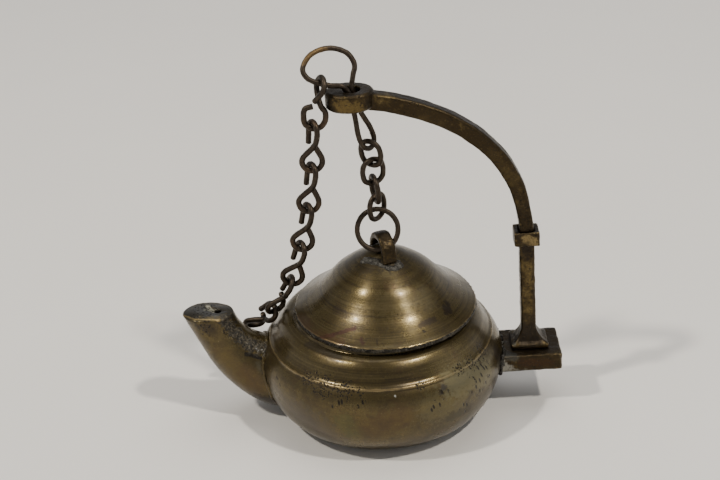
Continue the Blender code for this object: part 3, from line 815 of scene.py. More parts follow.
LID_RADIUS = 29.9 * MM
LID_EDGE = 1.5 * MM
LID_RISE = 20.6 * MM
LID_WALL = 1.5 * MM
LID_SLACK = 2.0 * MM
SPIGOT_WALL = 1.6 * MM
SPIGOT_DEPTH = 3.0 * MM
LID_BASE = RIM_HEIGHT + FIT + LID_EDGE
LID_SHARES = (
    (0.000, 1.000),
    (0.110, 0.975),
    (0.230, 0.885),
    (0.385, 0.745),
    (0.530, 0.585),
    (0.630, 0.430),
    (0.736, 0.267),
    (0.846, 0.140),
    (0.943, 0.045),
    (0.985, 0.010),
)


def lid_line():
    points = [(LID_RADIUS * share, 0, LID_BASE + LID_RISE * up) for share, up in LID_SHARES]
    return [(max(point.x, 0), point.z) for point in smooth_path(points, 6)]


def lid_crown(radius):
    """Height of the lid's outer face at a radius from the lid's axis."""
    line = lid_line()
    for (r1, h1), (r2, h2) in zip(line, line[1:]):
        if r1 <= radius <= r2:
            return h1 + (h2 - h1) * (radius - r1) / (r2 - r1)
    return LID_BASE


def make_lid():
    spigot = MOUTH_RADIUS - FIT - LID_SLACK
    bore = spigot - SPIGOT_WALL
    foot = LID_BASE - LID_EDGE
    outside = lid_line()
    outside += [(LID_RADIUS - 0.12 * MM, LID_BASE - 0.05 * MM), (LID_RADIUS, LID_BASE - 0.3 * MM)]
    edge_steps = (0.35, 0.5, 0.65, 0.8)
    outside += [(LID_RADIUS - 0.02 * MM, LID_BASE - LID_EDGE * share) for share in edge_steps]
    outside += [(LID_RADIUS - 0.15 * MM, foot + 0.05 * MM), (LID_RADIUS - 0.5 * MM, foot)]
    outside += [(spigot, foot), (spigot, foot - SPIGOT_DEPTH), (bore, foot - SPIGOT_DEPTH)]
    inside = []
    for share in (1.0, 0.93, 0.86, 0.78, 0.7, 0.6, 0.5, 0.37, 0.25, 0.12, 0):
        radius = bore * share
        slope = (lid_crown(max(radius - WALL, 0)) - lid_crown(radius + WALL)) / (2 * WALL)
        inside.append((radius, lid_crown(radius) - LID_WALL * math.hypot(1, slope)))
    red = (0.036, 0.014, 0.009)
    dark = (0.020, 0.013, 0.008)
    marks = (
        ((-19.5, -20.6, 38.6), (-15.5, -21.6, 39.6), 1.0, red, 0.9),
        ((-16.0, -21.4, 39.6), (-8.5, -21.9, 42.0), 0.9, red, 0.85),
        ((-22.0, -19.0, 38.0), (-14.0, -25.0, 38.2), 3.2, (0.070, 0.034, 0.016), 0.5),
        ((-6.5, -25.3, 40.0), (-6.0, -26.8, 39.3), 0.8, red, 0.8),
        ((-26.5, -8.5, 38.8), (-24.0, -14.0, 38.6), 3.0, (0.060, 0.030, 0.016), 0.5),
        ((12.0, -22.4, 41.8), (17.0, -19.2, 42.0), 1.1, dark, 0.75),
        ((21.5, -11.5, 43.2), (22.3, -14.5, 41.6), 1.3, dark, 0.85),
        ((20.5, -13.0, 43.2), (21.0, -15.5, 41.8), 1.0, dark, 0.8),
        ((13.4, -23.9, 40.6), (13.4, -23.9, 40.6), 0.6, (0.016, 0.012, 0.009), 0.9),
        ((-14.2, -14.0, 45.0), (-11.2, -17.5, 44.2), 1.6, (0.026, 0.018, 0.011), 0.5),
        ((-1.7, -25.0, 40.7), (-1.6, -28.3, 39.3), 0.28, dark, 0.6),
        ((-5.0, -7.0, 55.6), (8.0, -7.0, 55.4), 3.4, (0.022, 0.016, 0.010), 0.6),
        ((-9.0, 0.0, 54.2), (12.0, 0.0, 54.2), 4.5, (0.026, 0.019, 0.012), 0.5),
        ((2.0, -17.5, 46.5), (14.0, -12.0, 46.5), 5.5, (0.150, 0.120, 0.058), 0.3),
    )
    # The lid's rim carries rubbed brass with a painted highlight along it
    rim = (LID_RADIUS / MM, LID_BASE / MM)
    finish = turned_bronze("turned bronze lid", LID_SLACK / MM, 0.0, marks, rubbed_and_highlight_line=rim)
    crust = old_solder("crusted edge", (0.075, 0.066, 0.050), (0.018, 0.015, 0.011))
    lid = keep("lamp_lid", turned("lamp_lid", outside + inside), finish, crust)
    for vertex in lid.data.vertices:
        vertex.co.x += LID_SLACK
        flat = Vector((vertex.co.x - LID_SLACK, vertex.co.y, 0))
        if flat.length > LID_RADIUS - 0.6 * MM and vertex.co.z < LID_BASE - 0.02 * MM:
            rough = lively_bumps(vertex.co / MM * 1.3)
            vertex.co += flat.normalized() * (rough * 0.28 - 0.06) * MM
            vertex.co.z += 0.12 * MM * noise.noise(vertex.co / MM * 1.1)
    for polygon in lid.data.polygons:
        flat = math.hypot(polygon.center.x - LID_SLACK, polygon.center.y)
        if flat > LID_RADIUS - 0.7 * MM and polygon.center.z < LID_BASE - 0.1 * MM:
            polygon.material_index = 1
    roughen(lid, sizes().turning_waver, 0.08, 7.7, 2)
    return stands_for(lid, "lid", slot="turned_bronze")


# Eyelet and ring of the lid

EYELET_WIDTH = 4.8 * MM
EYELET_THICK = 2.3 * MM
EYELET_SPAN = 12.4 * MM
EYELET_TOP = 64.9 * MM
EYELET_TURN = math.radians(20)
EYELET_PLACE = (2.1 * MM, -1.6 * MM)
LOOP_BEAD_SUNK = 0.92 * MM
LOOP_PUDDLE = (
    *((-4.4, -3.9), (-3.4, -4.6), (-2.4, -5.3), (-1.3, -5.9), (-0.2, -6.5), (0.7, -6.9)),
    *((1.6, -7.3), (2.6, -7.8), (3.6, -8.2), (4.6, -8.3), (5.6, -8.0), (6.5, -7.4)),
    *((7.2, -6.7), (-3.4, -3.4), (-2.2, -4.2), (-1.0, -4.9), (0.3, -5.6), (6.6, -5.6)),
    *((5.9, -6.6), (-1.6, 3.6), (-0.8, 4.5), (0.3, 5.0), (1.4, 4.7), (2.4, 3.9)),
)
LID_RING_PLACE = (0.7 * MM, -0.3 * MM, 65.35 * MM)
LID_RING_RADIUS = 6.55 * MM
LID_RING_WIRE = 1.7 * MM
LID_RING_LEAN = math.radians(28)


def make_eyelet():
    """A flat strap bent into an arch, its feet set on the dome."""
    across = Vector((math.cos(EYELET_TURN), math.sin(EYELET_TURN), 0))
    front = Vector((math.sin(EYELET_TURN), -math.cos(EYELET_TURN), 0))
    half = EYELET_SPAN / 2
    centre = Vector((*EYELET_PLACE, EYELET_TOP - half))
    rings = []
    angles = [math.pi * step / 30 for step in range(31)]
    stations = [(-1, 0)] + [(-math.cos(angle), math.sin(angle)) for angle in angles] + [(1, 0)]
    for index, (side, rise) in enumerate(stations):
        foot = index in (0, len(stations) - 1)
        outward = (front * side + UP * rise).normalized()
        base = centre - UP * (half if foot else 0)
        outer = base + outward * half
        inner = base + outward * (half - EYELET_THICK)
        ring = []
        for step in range(24):
            angle = math.tau * step / 24
            c, s = math.cos(angle), math.sin(angle)
            wide = math.copysign(abs(c) ** 0.45, c) * EYELET_WIDTH / 2
            deep = math.copysign(abs(s) ** 0.45, s) * EYELET_THICK / 2
            ring.append((outer + inner) / 2 + across * wide + outward * deep)
        rings.append(ring)
    eyelet = keep("lid_loop", loft("lid_loop", rings), cast_bronze("loop bronze", -0.10))
    line = [(radius, height + FIT) for radius, height in lid_line()]
    line += [(LID_RADIUS, LID_BASE), (0, LID_BASE)]
    dome = keep("dome cutter", turned("dome cutter", line))
    for vertex in dome.data.vertices:
        vertex.co.x += LID_SLACK
    cut(eyelet, dome)
    cast_skin(eyelet, 0.28 * MM, 3)
    roughen(eyelet, sizes().casting_roughness * 0.8, 0.55, 1.3)
    stands_for(eyelet, "lid_eyelet", slot="cast_bronze")
    places = []
    for x, y in LOOP_PUDDLE:
        height = lid_crown(math.hypot(x - LID_SLACK / MM, y) * MM)
        places.append(Vector((x * MM, y * MM, height - LOOP_BEAD_SUNK)))
    finish = old_solder("old solder", tuple(colours().solder), (0.036, 0.032, 0.026))
    return solder_beads("loop_solder", places, 1.35, 0.14, finish, 8)


def solder_beads(name, places, size, spread, finish, rounding):
    """Lumps of solder along a joint, run together, their radius and spread in millimetres."""
    noise.seed_set(SOLDER_SEED)
    bm = bmesh.new()
    for index, place in enumerate(places):
        place = Vector(place)
        wander = noise.noise_vector(place / MM * 0.8 + Vector((index, 0, 0))) * spread * MM
        radius = size * MM * (0.85 + 0.4 * abs(noise.noise(Vector((index * 0.7, 3.3, 1.1)))))
        step = Matrix.Translation(place + wander)
        bmesh.ops.create_icosphere(bm, subdivisions=2, radius=radius, matrix=step)
    obj = keep(name, mesh_from(bm, name), finish)
    cast_skin(obj, 0.22 * MM, rounding)
    roughen(obj, spread * 0.6 * MM, 0.8, 5.0, 4)
    return stands_for(obj, slot="cast_bronze")


def make_lid_ring():
    along = (0, math.sin(LID_RING_LEAN), math.cos(LID_RING_LEAN))
    points = circle_points(LID_RING_PLACE, (1, 0, 0), along, LID_RING_RADIUS, 96)
    ring = wire("lid_wire_ring", points, LID_RING_WIRE, True)
    return stands_for(ring, "lid_ring", slot="bronze_wire")


# Spout

SPOUT_WALL = 1.6 * MM
SPOUT_TIP_HEIGHT = 38.3 * MM
SPOUT_TIP = (-56.6 * MM, 8.15 * MM, 6.4 * MM)
SPOUT_SECTIONS = (
    (-30.0 * MM, 12.6 * MM, 12.0 * MM, 11.6 * MM),
    (-37.5 * MM, 15.2 * MM, 11.8 * MM, 11.2 * MM),
    (-44.5 * MM, 19.5 * MM, 10.0 * MM, 9.6 * MM),
    (-49.8 * MM, 25.0 * MM, 8.5 * MM, 8.0 * MM),
    (-53.6 * MM, 31.5 * MM, 7.6 * MM, 6.8 * MM),
)
TIP_CAP = 1.4 * MM
WICK_HOLE_RADIUS = 1.2 * MM
WICK_HOLE_OFFSET = 3.4 * MM
SPOUT_GRAIN_X = -100.0
NO_LINES = 60.0


def spout_rings(inset, sides, top, steps):
    """Rings of the horn, drawn in by a distance, up to a flat ring at the tip."""
    places = [Vector((x, 0, z)) for x, z, _, _ in SPOUT_SECTIONS] + [Vector((SPOUT_TIP[0], 0, top))]
    radii = [(a, b, 0) for _, _, a, b in SPOUT_SECTIONS] + [(SPOUT_TIP[1], SPOUT_TIP[2], 0)]
    curve = smooth_path(places, steps)
    widths = smooth_path(radii, steps)
    rings = []
    for index, (place, size) in enumerate(zip(curve, widths)):
        heading = (curve[min(index + 1, len(curve) - 1)] - curve[max(index - 1, 0)]).normalized()
        normal = Vector((heading.z, 0, -heading.x))
        share = max(0.0, (index - len(curve) + 1 + 1.6 * steps) / (1.6 * steps))
        normal = normal.lerp(Vector((1, 0, 0)), share**1.5).normalized()
        ring = []
        for side in range(sides):
            angle = math.tau * side / sides
            along = normal * (size.x - inset) * math.cos(angle)
            ring.append(place + along + Vector((0, (size.y - inset) * math.sin(angle), 0)))
        rings.append(ring)
    return rings


def make_spout():
    rings = spout_rings(0, 96, SPOUT_TIP_HEIGHT, 14)
    top = [point.lerp(Vector((SPOUT_TIP[0], 0, SPOUT_TIP_HEIGHT)), 0.05) for point in rings[-1]]
    lower = [point - Vector((0, 0, 0.35 * MM)) for point in rings[-1]]
    rings = rings[:-2] + [lower, top]
    gold = (0.30, 0.215, 0.085)
    marks = (
        ((-52.0, -7.0, 26.0), (-47.0, -9.5, 15.0), 4.0, (0.095, 0.066, 0.024), 0.45),
        ((-44.0, -9.0, 19.0), (-41.5, -9.5, 14.0), 4.5, (0.070, 0.042, 0.018), 0.5),
        # Painted shade: the dark underside of the horn's root stands in for its reflection of the
        # shadowed table
        ((-44.0, -8.0, 6.5), (-36.0, -9.0, 9.0), 4.0, (0.026, 0.020, 0.014), 0.85),
        ((-41.0, -8.6, 22.5), (-38.0, -9.8, 12.0), 1.2, (0.095, 0.085, 0.055), 0.5),
        ((-58.0, -4.5, 36.6), (-55.5, -6.0, 35.0), 2.6, (0.036, 0.026, 0.014), 0.8),
        ((-51.0, -4.5, 37.5), (-49.5, -1.0, 36.0), 2.2, (0.036, 0.027, 0.017), 0.75),
        ((-44.0, -4.8, 28.4), (-38.0, -6.5, 27.3), 3.2, (0.060, 0.048, 0.032), 0.7),
        ((-63.0, 0.0, 38.9), (-51.0, 0.0, 38.9), 5.4, (0.030, 0.027, 0.020), 0.9),
        ((-60.0, 1.0, 38.3), (-54.0, -2.5, 38.3), 1.6, (0.080, 0.080, 0.075), 0.6),
        ((-56.8, 3.6, 38.3), (-54.6, -0.4, 38.3), 0.8, (0.36, 0.34, 0.25), 0.95),
        ((-57.6, 1.2, 38.3), (-53.6, 0.2, 38.3), 0.5, (0.26, 0.25, 0.18), 0.8),
        ((-60.5, -4.6, 38.1), (-52.0, -5.6, 38.1), 0.55, gold, 0.8),
        ((-64.3, -1.5, 38.1), (-61.0, -4.2, 38.1), 0.5, gold, 0.5),
        ((-44.5, -7.4, 25.9), (-40.0, -7.9, 24.2), 0.9, (0.012, 0.010, 0.008), 0.95),
    )
    pitted = (
        ((-57.0, -5.5, 36.0), 2.6),
        ((-49.5, -4.6, 34.5), 2.8),
        ((-46.5, -4.8, 31.0), 2.8),
        ((-43.5, -5.3, 28.2), 3.2),
        ((-40.0, -5.6, 26.8), 3.6),
        ((-57.0, 0.0, 38.6), 5.0),
    )
    crusted = (
        ((-50.4, -4.6, 37.0), (-47.6, -4.7, 32.2), 2.0),
        ((-47.6, -4.7, 32.2), (-43.0, -5.3, 28.2), 2.5),
        ((-43.0, -5.3, 28.0), (-37.5, -6.5, 26.8), 2.9),
    )
    finish = turned_bronze(
        "turned bronze spout", SPOUT_GRAIN_X, NO_LINES, marks, pitted, crusted=crusted
    )
    spout = keep("lamp_spout", loft("lamp_spout", rings), finish)
    hollow = spout_rings(SPOUT_WALL, 40, SPOUT_TIP_HEIGHT - TIP_CAP, 6)
    cut(spout, keep("spout cutter", loft("spout cutter", hollow)))
    place = Vector((SPOUT_TIP[0] + WICK_HOLE_OFFSET, 0, SPOUT_TIP_HEIGHT))
    circle = circle_points(place, (1, 0, 0), (0, 1, 0), WICK_HOLE_RADIUS, 32)
    drill(spout, "wick cutter", circle, Vector((0, 0, 2 * TIP_CAP)))
    cut(spout, bowl_cutter(0.1 * MM))
    roughen(spout, sizes().turning_waver * 1.2, 0.12, 2.2, 3)
    seam = ((-50.6, -4.6, 37.0), (-47.6, -4.7, 32.2), (-43.0, -5.3, 28.0), (-36.8, -8.0, 26.4))
    crust_over(spout, seam, 2.4, 0.6)
    stands_for(spout, "spout", slot="turned_bronze")
    return solder_beads("spout_joint", spout_joint(110), 0.75, 0.05, finish, 10)


def crust_over(obj, line, radius, height):
    """Raise a pitted crust on the outside of a mesh, along a line given in millimetres."""
    points = [Vector(point) for point in line]
    mesh = obj.data
    normals = [vertex.normal.copy() for vertex in mesh.vertices]
    for vertex, normal in zip(mesh.vertices, normals):
        place = vertex.co / MM
        away = min(off_line(place, start, end) for start, end in zip(points, points[1:]))
        if away < radius and normal.dot(Vector((0.3, -0.7, 0.6))) > 0:
            lumps = 0.45 + lively_bumps(place * 1.1)
            vertex.co += normal * height * MM * min(1.0, 1.8 * (1 - away / radius)) * lumps
    mesh.update()


def off_line(place, start, end):
    """Distance of a place from a line between two points."""
    line = end - start
    share = max(0.0, min(1.0, (place - start).dot(line) / line.length_squared))
    return (place - start - line * share).length


def spout_joint(steps):
    """Points where the horn meets the bowl, found by stepping out along each line of the horn."""
    rings = spout_rings(0, steps, SPOUT_TIP_HEIGHT, 14)
    line = outer_bowl()
    found = []
    for side in range(steps):
        for ring in rings:
            point = ring[side]
            radius = math.hypot(point.x, point.y)
            beside = [
                r for (r, z), (_, z2) in zip(line, line[1:]) if min(z, z2) <= point.z <= max(z, z2)
            ]
            if radius > max(beside, default=0) and point.x < 0:
                found.append(point)
                break
    return found


# Handle

BRACKET_TOP = 19.6 * MM
BRACKET_THICK = 6.0 * MM
BRACKET_END = 59.4 * MM
BRACKET_DEPTH = 17.6 * MM
BRACKET_BEVEL = 0.7 * MM
POST_X = 49.2 * MM
POST_LEAN = -0.8 * MM
POST_SIDE = 4.8 * MM
FOOT_WIDTH = 12.3 * MM
FOOT_DEPTH = 10.0 * MM
FOOT_SLAB = 1.3 * MM
FOOT_HEIGHT = 7.2 * MM
SOCKET_WIDTH = 8.2 * MM
SOCKET_DEPTH = 7.2 * MM
SOCKET_HEIGHT = 4.9 * MM
SOCKET_TOP = 62.6 * MM
POCKET_DEPTH = 2.6 * MM
POST_CHAMFER = 0.4 * MM
POCKET_CHAMFER = 0.3 * MM
ARM_CHAMFER = 0.5 * MM
ARM_DEPTH = 4.9 * MM
ARM_THICK = 5.5 * MM
ARM_END_THICK = 4.6 * MM
ARM_PATH = (
    (-3.0 * MM, 110.9 * MM),
    (5.0 * MM, 109.5 * MM),
    (14.5 * MM, 106.7 * MM),
    (25.5 * MM, 101.6 * MM),
    (34.6 * MM, 94.6 * MM),
    (41.3 * MM, 86.6 * MM),
    (45.8 * MM, 77.0 * MM),
    (47.9 * MM, 67.5 * MM),
)
EYE_CENTRE = Vector((-5.9 * MM, 0.0, 111.4 * MM))
EYE_HOLE_SHIFT = 0.7 * MM
EYE_LENGTH = 15.2 * MM
EYE_DEPTH = 12.8 * MM
EYE_THICK = 5.9 * MM
EYE_HOLE_RADIUS = 2.8 * MM
EYE_BEVEL = 0.7 * MM


def chamfered(centre, half_a, half_b, corner, direction_a=(1, 0, 0)):
    """Eight points of a rectangle with cut corners, its second direction along Y."""
    a, b = Vector(direction_a), Vector((0, 1, 0))
    found = []
    for index, (i, j) in enumerate(((1, 1), (-1, 1), (-1, -1), (1, -1))):
        long = centre + a * i * half_a + b * j * (half_b - corner)
        short = centre + a * i * (half_a - corner) + b * j * half_b
        found += [long, short] if index % 2 == 0 else [short, long]
    return found


def make_bracket():
    low = BRACKET_TOP - BRACKET_THICK
    bm = bmesh.new()
    bmesh.ops.create_cube(bm, size=1.0)
    length = BRACKET_END - BASE_RADIUS
    bmesh.ops.scale(bm, vec=(length, BRACKET_DEPTH, BRACKET_THICK), verts=bm.verts)
    middle = (BASE_RADIUS + length / 2, 0, low + BRACKET_THICK / 2)
    bmesh.ops.translate(bm, vec=middle, verts=bm.verts)
    bmesh.ops.bevel(
        bm, geom=list(bm.edges), offset=BRACKET_BEVEL, segments=3, affect="EDGES", profile=0.6
    )
    marks = (
        ((38.5, -8.8, 18.5), (41.5, -8.8, 13.8), 2.2, (0.230, 0.222, 0.190), 0.85),
        ((41.0, -8.8, 13.8), (47.0, -8.8, 13.6), 1.0, (0.130, 0.125, 0.105), 0.7),
        ((38.5, -6.0, 19.6), (43.0, -8.5, 19.6), 2.2, (0.060, 0.058, 0.048), 0.8),
        ((46.0, -8.8, 17.0), (56.0, -8.8, 16.5), 1.5, (0.045, 0.024, 0.014), 0.55),
        ((59.4, -8.8, 19.0), (59.4, -8.8, 14.0), 0.9, (0.130, 0.115, 0.080), 0.5),
    )
    finish = cast_bronze("bracket bronze", -0.13, marks)
    bracket = keep("bracket_casting", mesh_from(bm, "bracket_casting"), finish)
    cut(bracket, bowl_cutter(0.1 * MM))
    cast_skin(bracket, 0.36 * MM, 2)
    roughen(bracket, sizes().casting_roughness * 1.3, 0.28, 4.0, 4)
    stands_for(bracket, "handle_bracket", slot="cast_bronze")
    beads = []
    half = BRACKET_DEPTH / 2
    for step in range(9):
        share = step / 8
        up = low + share * BRACKET_THICK
        for y, z in ((-half, up), (-half + share * 2 * half, BRACKET_TOP), (half, up)):
            wall = belly_radius(z)
            beads.append((math.sqrt(max(wall**2 - y**2, 0)) + 0.3 * MM, y, z))
    finish = old_solder("black solder", (0.085, 0.080, 0.068), (0.016, 0.013, 0.010))
    return solder_beads("bracket_solder", beads, 0.9, 0.5, finish, 2)


def make_post():
    low = BRACKET_TOP + FIT
    shaft_end = SOCKET_TOP - SOCKET_HEIGHT
    half = POST_SIDE / 2
    slab = low + FOOT_SLAB
    levels = [(low, FOOT_WIDTH / 2, FOOT_DEPTH / 2), (slab, FOOT_WIDTH / 2, FOOT_DEPTH / 2)]
    for step in range(2, 13):
        share = step / 12
        ease = (1 - share) ** 2.0
        wide = half + ease * (FOOT_WIDTH * 0.46 - half)
        deep = half + ease * (FOOT_DEPTH * 0.45 - half)
        levels.append((slab + share * (FOOT_HEIGHT - FOOT_SLAB), wide, deep))
    levels += [(shaft_end, half, half), (shaft_end, SOCKET_WIDTH / 2, SOCKET_DEPTH / 2)]
    levels += [(SOCKET_TOP, SOCKET_WIDTH / 2, SOCKET_DEPTH / 2)]
    rings = []
    for height, wide, deep in levels:
        lean = POST_LEAN * (height - low) / (SOCKET_TOP - low)
        rings.append(chamfered(Vector((POST_X + lean, 0, height)), wide, deep, POST_CHAMFER))
    marks = (
        ((48.5, 0.0, 64.0), (48.5, 0.0, 58.0), 5.2, (0.020, 0.016, 0.012), 0.85),
        ((48.2, -3.6, 60.5), (50.0, -3.6, 59.0), 1.9, (0.210, 0.155, 0.070), 0.85),
        ((49.0, 0.0, 20.0), (49.0, 0.0, 24.5), 7.5, (0.026, 0.021, 0.016), 0.75),
        ((44.0, -4.5, 22.0), (47.0, -3.5, 26.5), 1.0, (0.110, 0.105, 0.085), 0.6),
        ((50.8, -2.0, 28.0), (50.4, -2.0, 56.0), 0.7, (0.035, 0.026, 0.018), 0.7),
        ((48.4, -2.4, 54.5), (48.4, -2.4, 57.5), 2.4, (0.022, 0.017, 0.013), 0.8),
    )
    finish = cast_bronze("post bronze", -0.02, marks)
    post = keep("post_casting", loft("post_casting", rings), finish)
    centre = Vector((POST_X + POST_LEAN, 0, SOCKET_TOP))
    wide, deep = ARM_END_THICK / 2 + FIT, ARM_DEPTH / 2 + FIT
    pocket = chamfered(centre, wide, deep, POCKET_CHAMFER)
    drill(post, "pocket cutter", pocket, UP * POCKET_DEPTH)
    cast_skin(post, 0.26 * MM, 2)
    roughen(post, sizes().casting_roughness, 0.33, 9.0, 4)
    return stands_for(post, "handle_post", slot="cast_bronze")


def make_arm():
    end = (POST_X + POST_LEAN, SOCKET_TOP - POCKET_DEPTH + FIT)
    points = [(x, 0, z) for x, z in ARM_PATH]
    path = smooth_path(points + [(end[0], 0, SOCKET_TOP), (end[0], 0, end[1])], 8)
    rings = []
    for index, place in enumerate(path):
        heading = (path[min(index + 1, len(path) - 1)] - path[max(index - 1, 0)]).normalized()
        normal = Vector((heading.z, 0, -heading.x))
        share = min(index / (len(path) - 17), 1.0)
        thick = ARM_THICK + (ARM_END_THICK - ARM_THICK) * share**3
        rings.append(chamfered(place, thick / 2, ARM_DEPTH / 2, ARM_CHAMFER, normal))
    marks = (
        ((-9.0, -6.4, 111.0), (-4.0, -6.4, 110.0), 3.0, (0.140, 0.098, 0.036), 0.7),
        ((0.5, -5.0, 111.5), (1.5, -5.0, 108.0), 1.4, BLACK, 0.8),
        ((-12.5, -3.0, 110.0), (-11.0, -4.5, 109.0), 2.0, BLACK, 0.8),
        ((14.0, -2.5, 107.0), (22.0, -2.5, 104.0), 2.4, (0.040, 0.028, 0.014), 0.6),
        ((38.0, -2.5, 91.0), (44.0, -2.5, 81.0), 2.0, (0.055, 0.040, 0.018), 0.6),
        ((47.5, 0.0, 71.0), (48.2, 0.0, 63.0), 4.0, (0.022, 0.016, 0.010), 0.7),
    )
    finish = cast_bronze("arm bronze", -0.08, marks)
    arm = keep("arm_casting", loft("arm_casting", rings), finish)
    rings = []
    half = EYE_THICK / 2
    low, high = EYE_BEVEL - half, half - EYE_BEVEL
    for height, inset in ((-half, EYE_BEVEL), (low, 0), (high, 0), (half, EYE_BEVEL)):
        ring = []
        for step in range(64):
            angle = math.tau * step / 64
            x = (EYE_LENGTH / 2 - inset) * math.cos(angle)
            y = (EYE_DEPTH / 2 - inset) * math.sin(angle)
            ring.append(EYE_CENTRE + Vector((x, y, height)))
        rings.append(ring)
    cut(arm, keep("eye", loft("eye", rings)), "UNION")
    place = EYE_CENTRE + Vector((EYE_HOLE_SHIFT, 0, 0))
    circle = circle_points(place, (1, 0, 0), (0, 1, 0), EYE_HOLE_RADIUS, 48)
    drill(arm, "eye cutter", circle, Vector((0, 0, EYE_THICK)))
    cast_skin(arm, 0.30 * MM, 7)
    roughen(arm, sizes().casting_roughness, 0.22, 6.0, 4)
    return stands_for(arm, "handle_arm", slot="cast_bronze")


# Hanger and chains

HANGER_RING = (
    (-5.0, 0.7, 114.4),
    (-4.4, 2.2, 118.0),
    (-3.8, 3.9, 121.0),
    (-6.2, 5.2, 124.4),
    (-11.4, 5.1, 126.1),
    (-16.8, 3.0, 125.2),
    (-19.6, 0.3, 121.9),
    (-18.4, -1.2, 119.2),
    (-15.2, -1.4, 117.5),
    (-11.4, -1.2, 116.3),
    (-8.0, -1.2, 115.9),
    (-6.1, -1.0, 113.4),
)
HANGER_LOOP_TURN = math.radians(54)
HANGER_LOOP_FOOT = Vector((-0.2, 0.2, 94.1))
HANGER_LOOP_WIDTH = 6.8
HANGER_LOOP_NECK = Vector((-4.7, -0.25, 109.6))
HANGER_NECK_WIDTH = 2.1
HANGER_WIRE = 1.7 * MM
LINK_LENGTH = 10.5 * MM
LINK_WIDTH = 8.8 * MM
LINK_WIRE = 1.75 * MM
LINK_CHAIN_TOP = Vector((-0.2 * MM, 0.2 * MM, 92.2 * MM))
LINK_CHAIN_LOW = Vector((0.9 * MM, 2.7 * MM, 72.1 * MM))
LINK_TURNS = (-32, 22, 106, 48)
LINK_SIDE_EASE = 2.2
S_WIRE = 1.85 * MM
S_ARCH_RADIUS = 2.7 * MM
S_LOOP_RADIUS = 3.15 * MM
S_PITCH = 14.5 * MM
S_FIRST_HOOK_RADIUS = 3.4 * MM
S_ARCH_TURNS = (72, 62, 62, 62, 62, 120, 80)
S_TWISTS = (-72, 0, 0, 0, 0, 40, 30)
S_ROUTE = (
    (-14.1, -1.6, 118.1),
    (-17.6, -2.6, 104.0),
    (-18.8, -2.5, 89.7),
    (-20.9, -2.2, 75.4),
    (-23.9, -1.2, 61.4),
    (-28.2, 0.8, 47.8),
    (-35.0, 4.2, 35.3),
    (-44.5, 12.5, 24.5),
)


def make_hanger():
    across = Vector((math.cos(HANGER_LOOP_TURN), math.sin(HANGER_LOOP_TURN), 0))
    foot, neck = HANGER_LOOP_FOOT, HANGER_LOOP_NECK
    half = HANGER_LOOP_WIDTH / 2
    loop = []
    for height, wide in ((1.0, 0), (0.72, 0.32), (0.42, 0.9), (half / (neck - foot).length, 1.0)):
        middle = foot.lerp(neck, height)
        side = HANGER_NECK_WIDTH / 2 + wide * (half - HANGER_NECK_WIDTH / 2)
        loop.append((middle - across * side, middle + across * side))
    down = (foot - neck).normalized()
    bend = []
    for step in (1, 2, 3):
        angle = math.pi * step / 4
        swing = down * math.sin(angle) - across * math.cos(angle)
        bend.append(foot - down * half + swing * half)
    points = [Vector(point) for point in HANGER_RING]
    points += [left for left, right in loop] + bend + [right for left, right in reversed(loop)]
    path = smooth_path([point * MM for point in points], 8, closed=True)
    hanger = wire("hanger_wire", path, HANGER_WIRE, True)
    return stands_for(hanger, "suspension_ring", slot="bronze_wire")


def make_lid_chain():
    up = (LINK_CHAIN_TOP - LINK_CHAIN_LOW).normalized()
    right = Vector((0, 1, 0)).cross(up).normalized()
    half = (LINK_WIDTH - LINK_WIRE) / 2
    straight = (LINK_LENGTH - LINK_WIDTH) / 2
    for index, degrees in enumerate(LINK_TURNS):
        centre = LINK_CHAIN_TOP.lerp(LINK_CHAIN_LOW, index / (len(LINK_TURNS) - 1))
        across = Matrix.Rotation(math.radians(degrees), 3, up) @ right
        points = []
        for step in range(56):
            angle = math.tau * (step + 0.5) / 56
            lift = math.sin(angle)
            ease = min(1.0, abs(lift) * LINK_SIDE_EASE)
            rise = lift * half + math.copysign(straight, lift) * ease
            points.append(centre + across * math.cos(angle) * half + up * rise)
        link = wire(f"oval_link_{index + 1}", points, LINK_WIRE, True)
        stands_for(link, f"chain_link_{index + 1}", slot="bronze_wire")


def s_link_path(arch_turn, arch_radius=S_ARCH_RADIUS, end_share=1.0):
    """Middle line of an S link about its mid-length: +X right, +Z up, -Y to the front."""
    half = (S_PITCH + S_WIRE + FIT) / 2
    crossing = 0.03 * half
    arch = Vector((math.cos(arch_turn), -math.sin(arch_turn), 0)) * arch_radius
    arch_centre = half - arch_radius
    loop_centre = S_LOOP_RADIUS - half
    points = [-arch * end_share + UP * crossing * (8 - 7 * end_share)]
    points.append(-arch + UP * (0.5 * arch_centre))
    for step in range(5):
        angle = math.pi * (1 - step / 4)
        points.append(arch * math.cos(angle) + UP * (arch_centre + arch_radius * math.sin(angle)))
    points.append(arch * 0.85 + UP * (0.48 * arch_centre))
    points.append(Vector((0.12, -0.5, 0)) * S_WIRE + UP * crossing)
    for degrees in (158, 205, 250, 295, 340, 380):
        angle = math.radians(degrees)
        spoke = Vector((math.cos(angle), 0, math.sin(angle)))
        points.append(spoke * S_LOOP_RADIUS + UP * loop_centre)
    points[-1].y += 0.3 * S_WIRE
    points.append(Vector((0.5, 0.75, -0.6)) * S_WIRE + UP * crossing)
    return points


def hinge_places(count):
    """Points a pitch apart along the side chain's route, where each link meets the next."""
    route = smooth_path([Vector(point) * MM for point in S_ROUTE], 40)
    places = [route[0]]
    for point in route:
        if (point - places[-1]).length >= S_PITCH and len(places) <= count:
            places.append(places[-1] + (point - places[-1]).normalized() * S_PITCH)
    while len(places) <= count:
        places.append(places[-1] + (route[-1] - route[-2]).normalized() * S_PITCH)
    return places


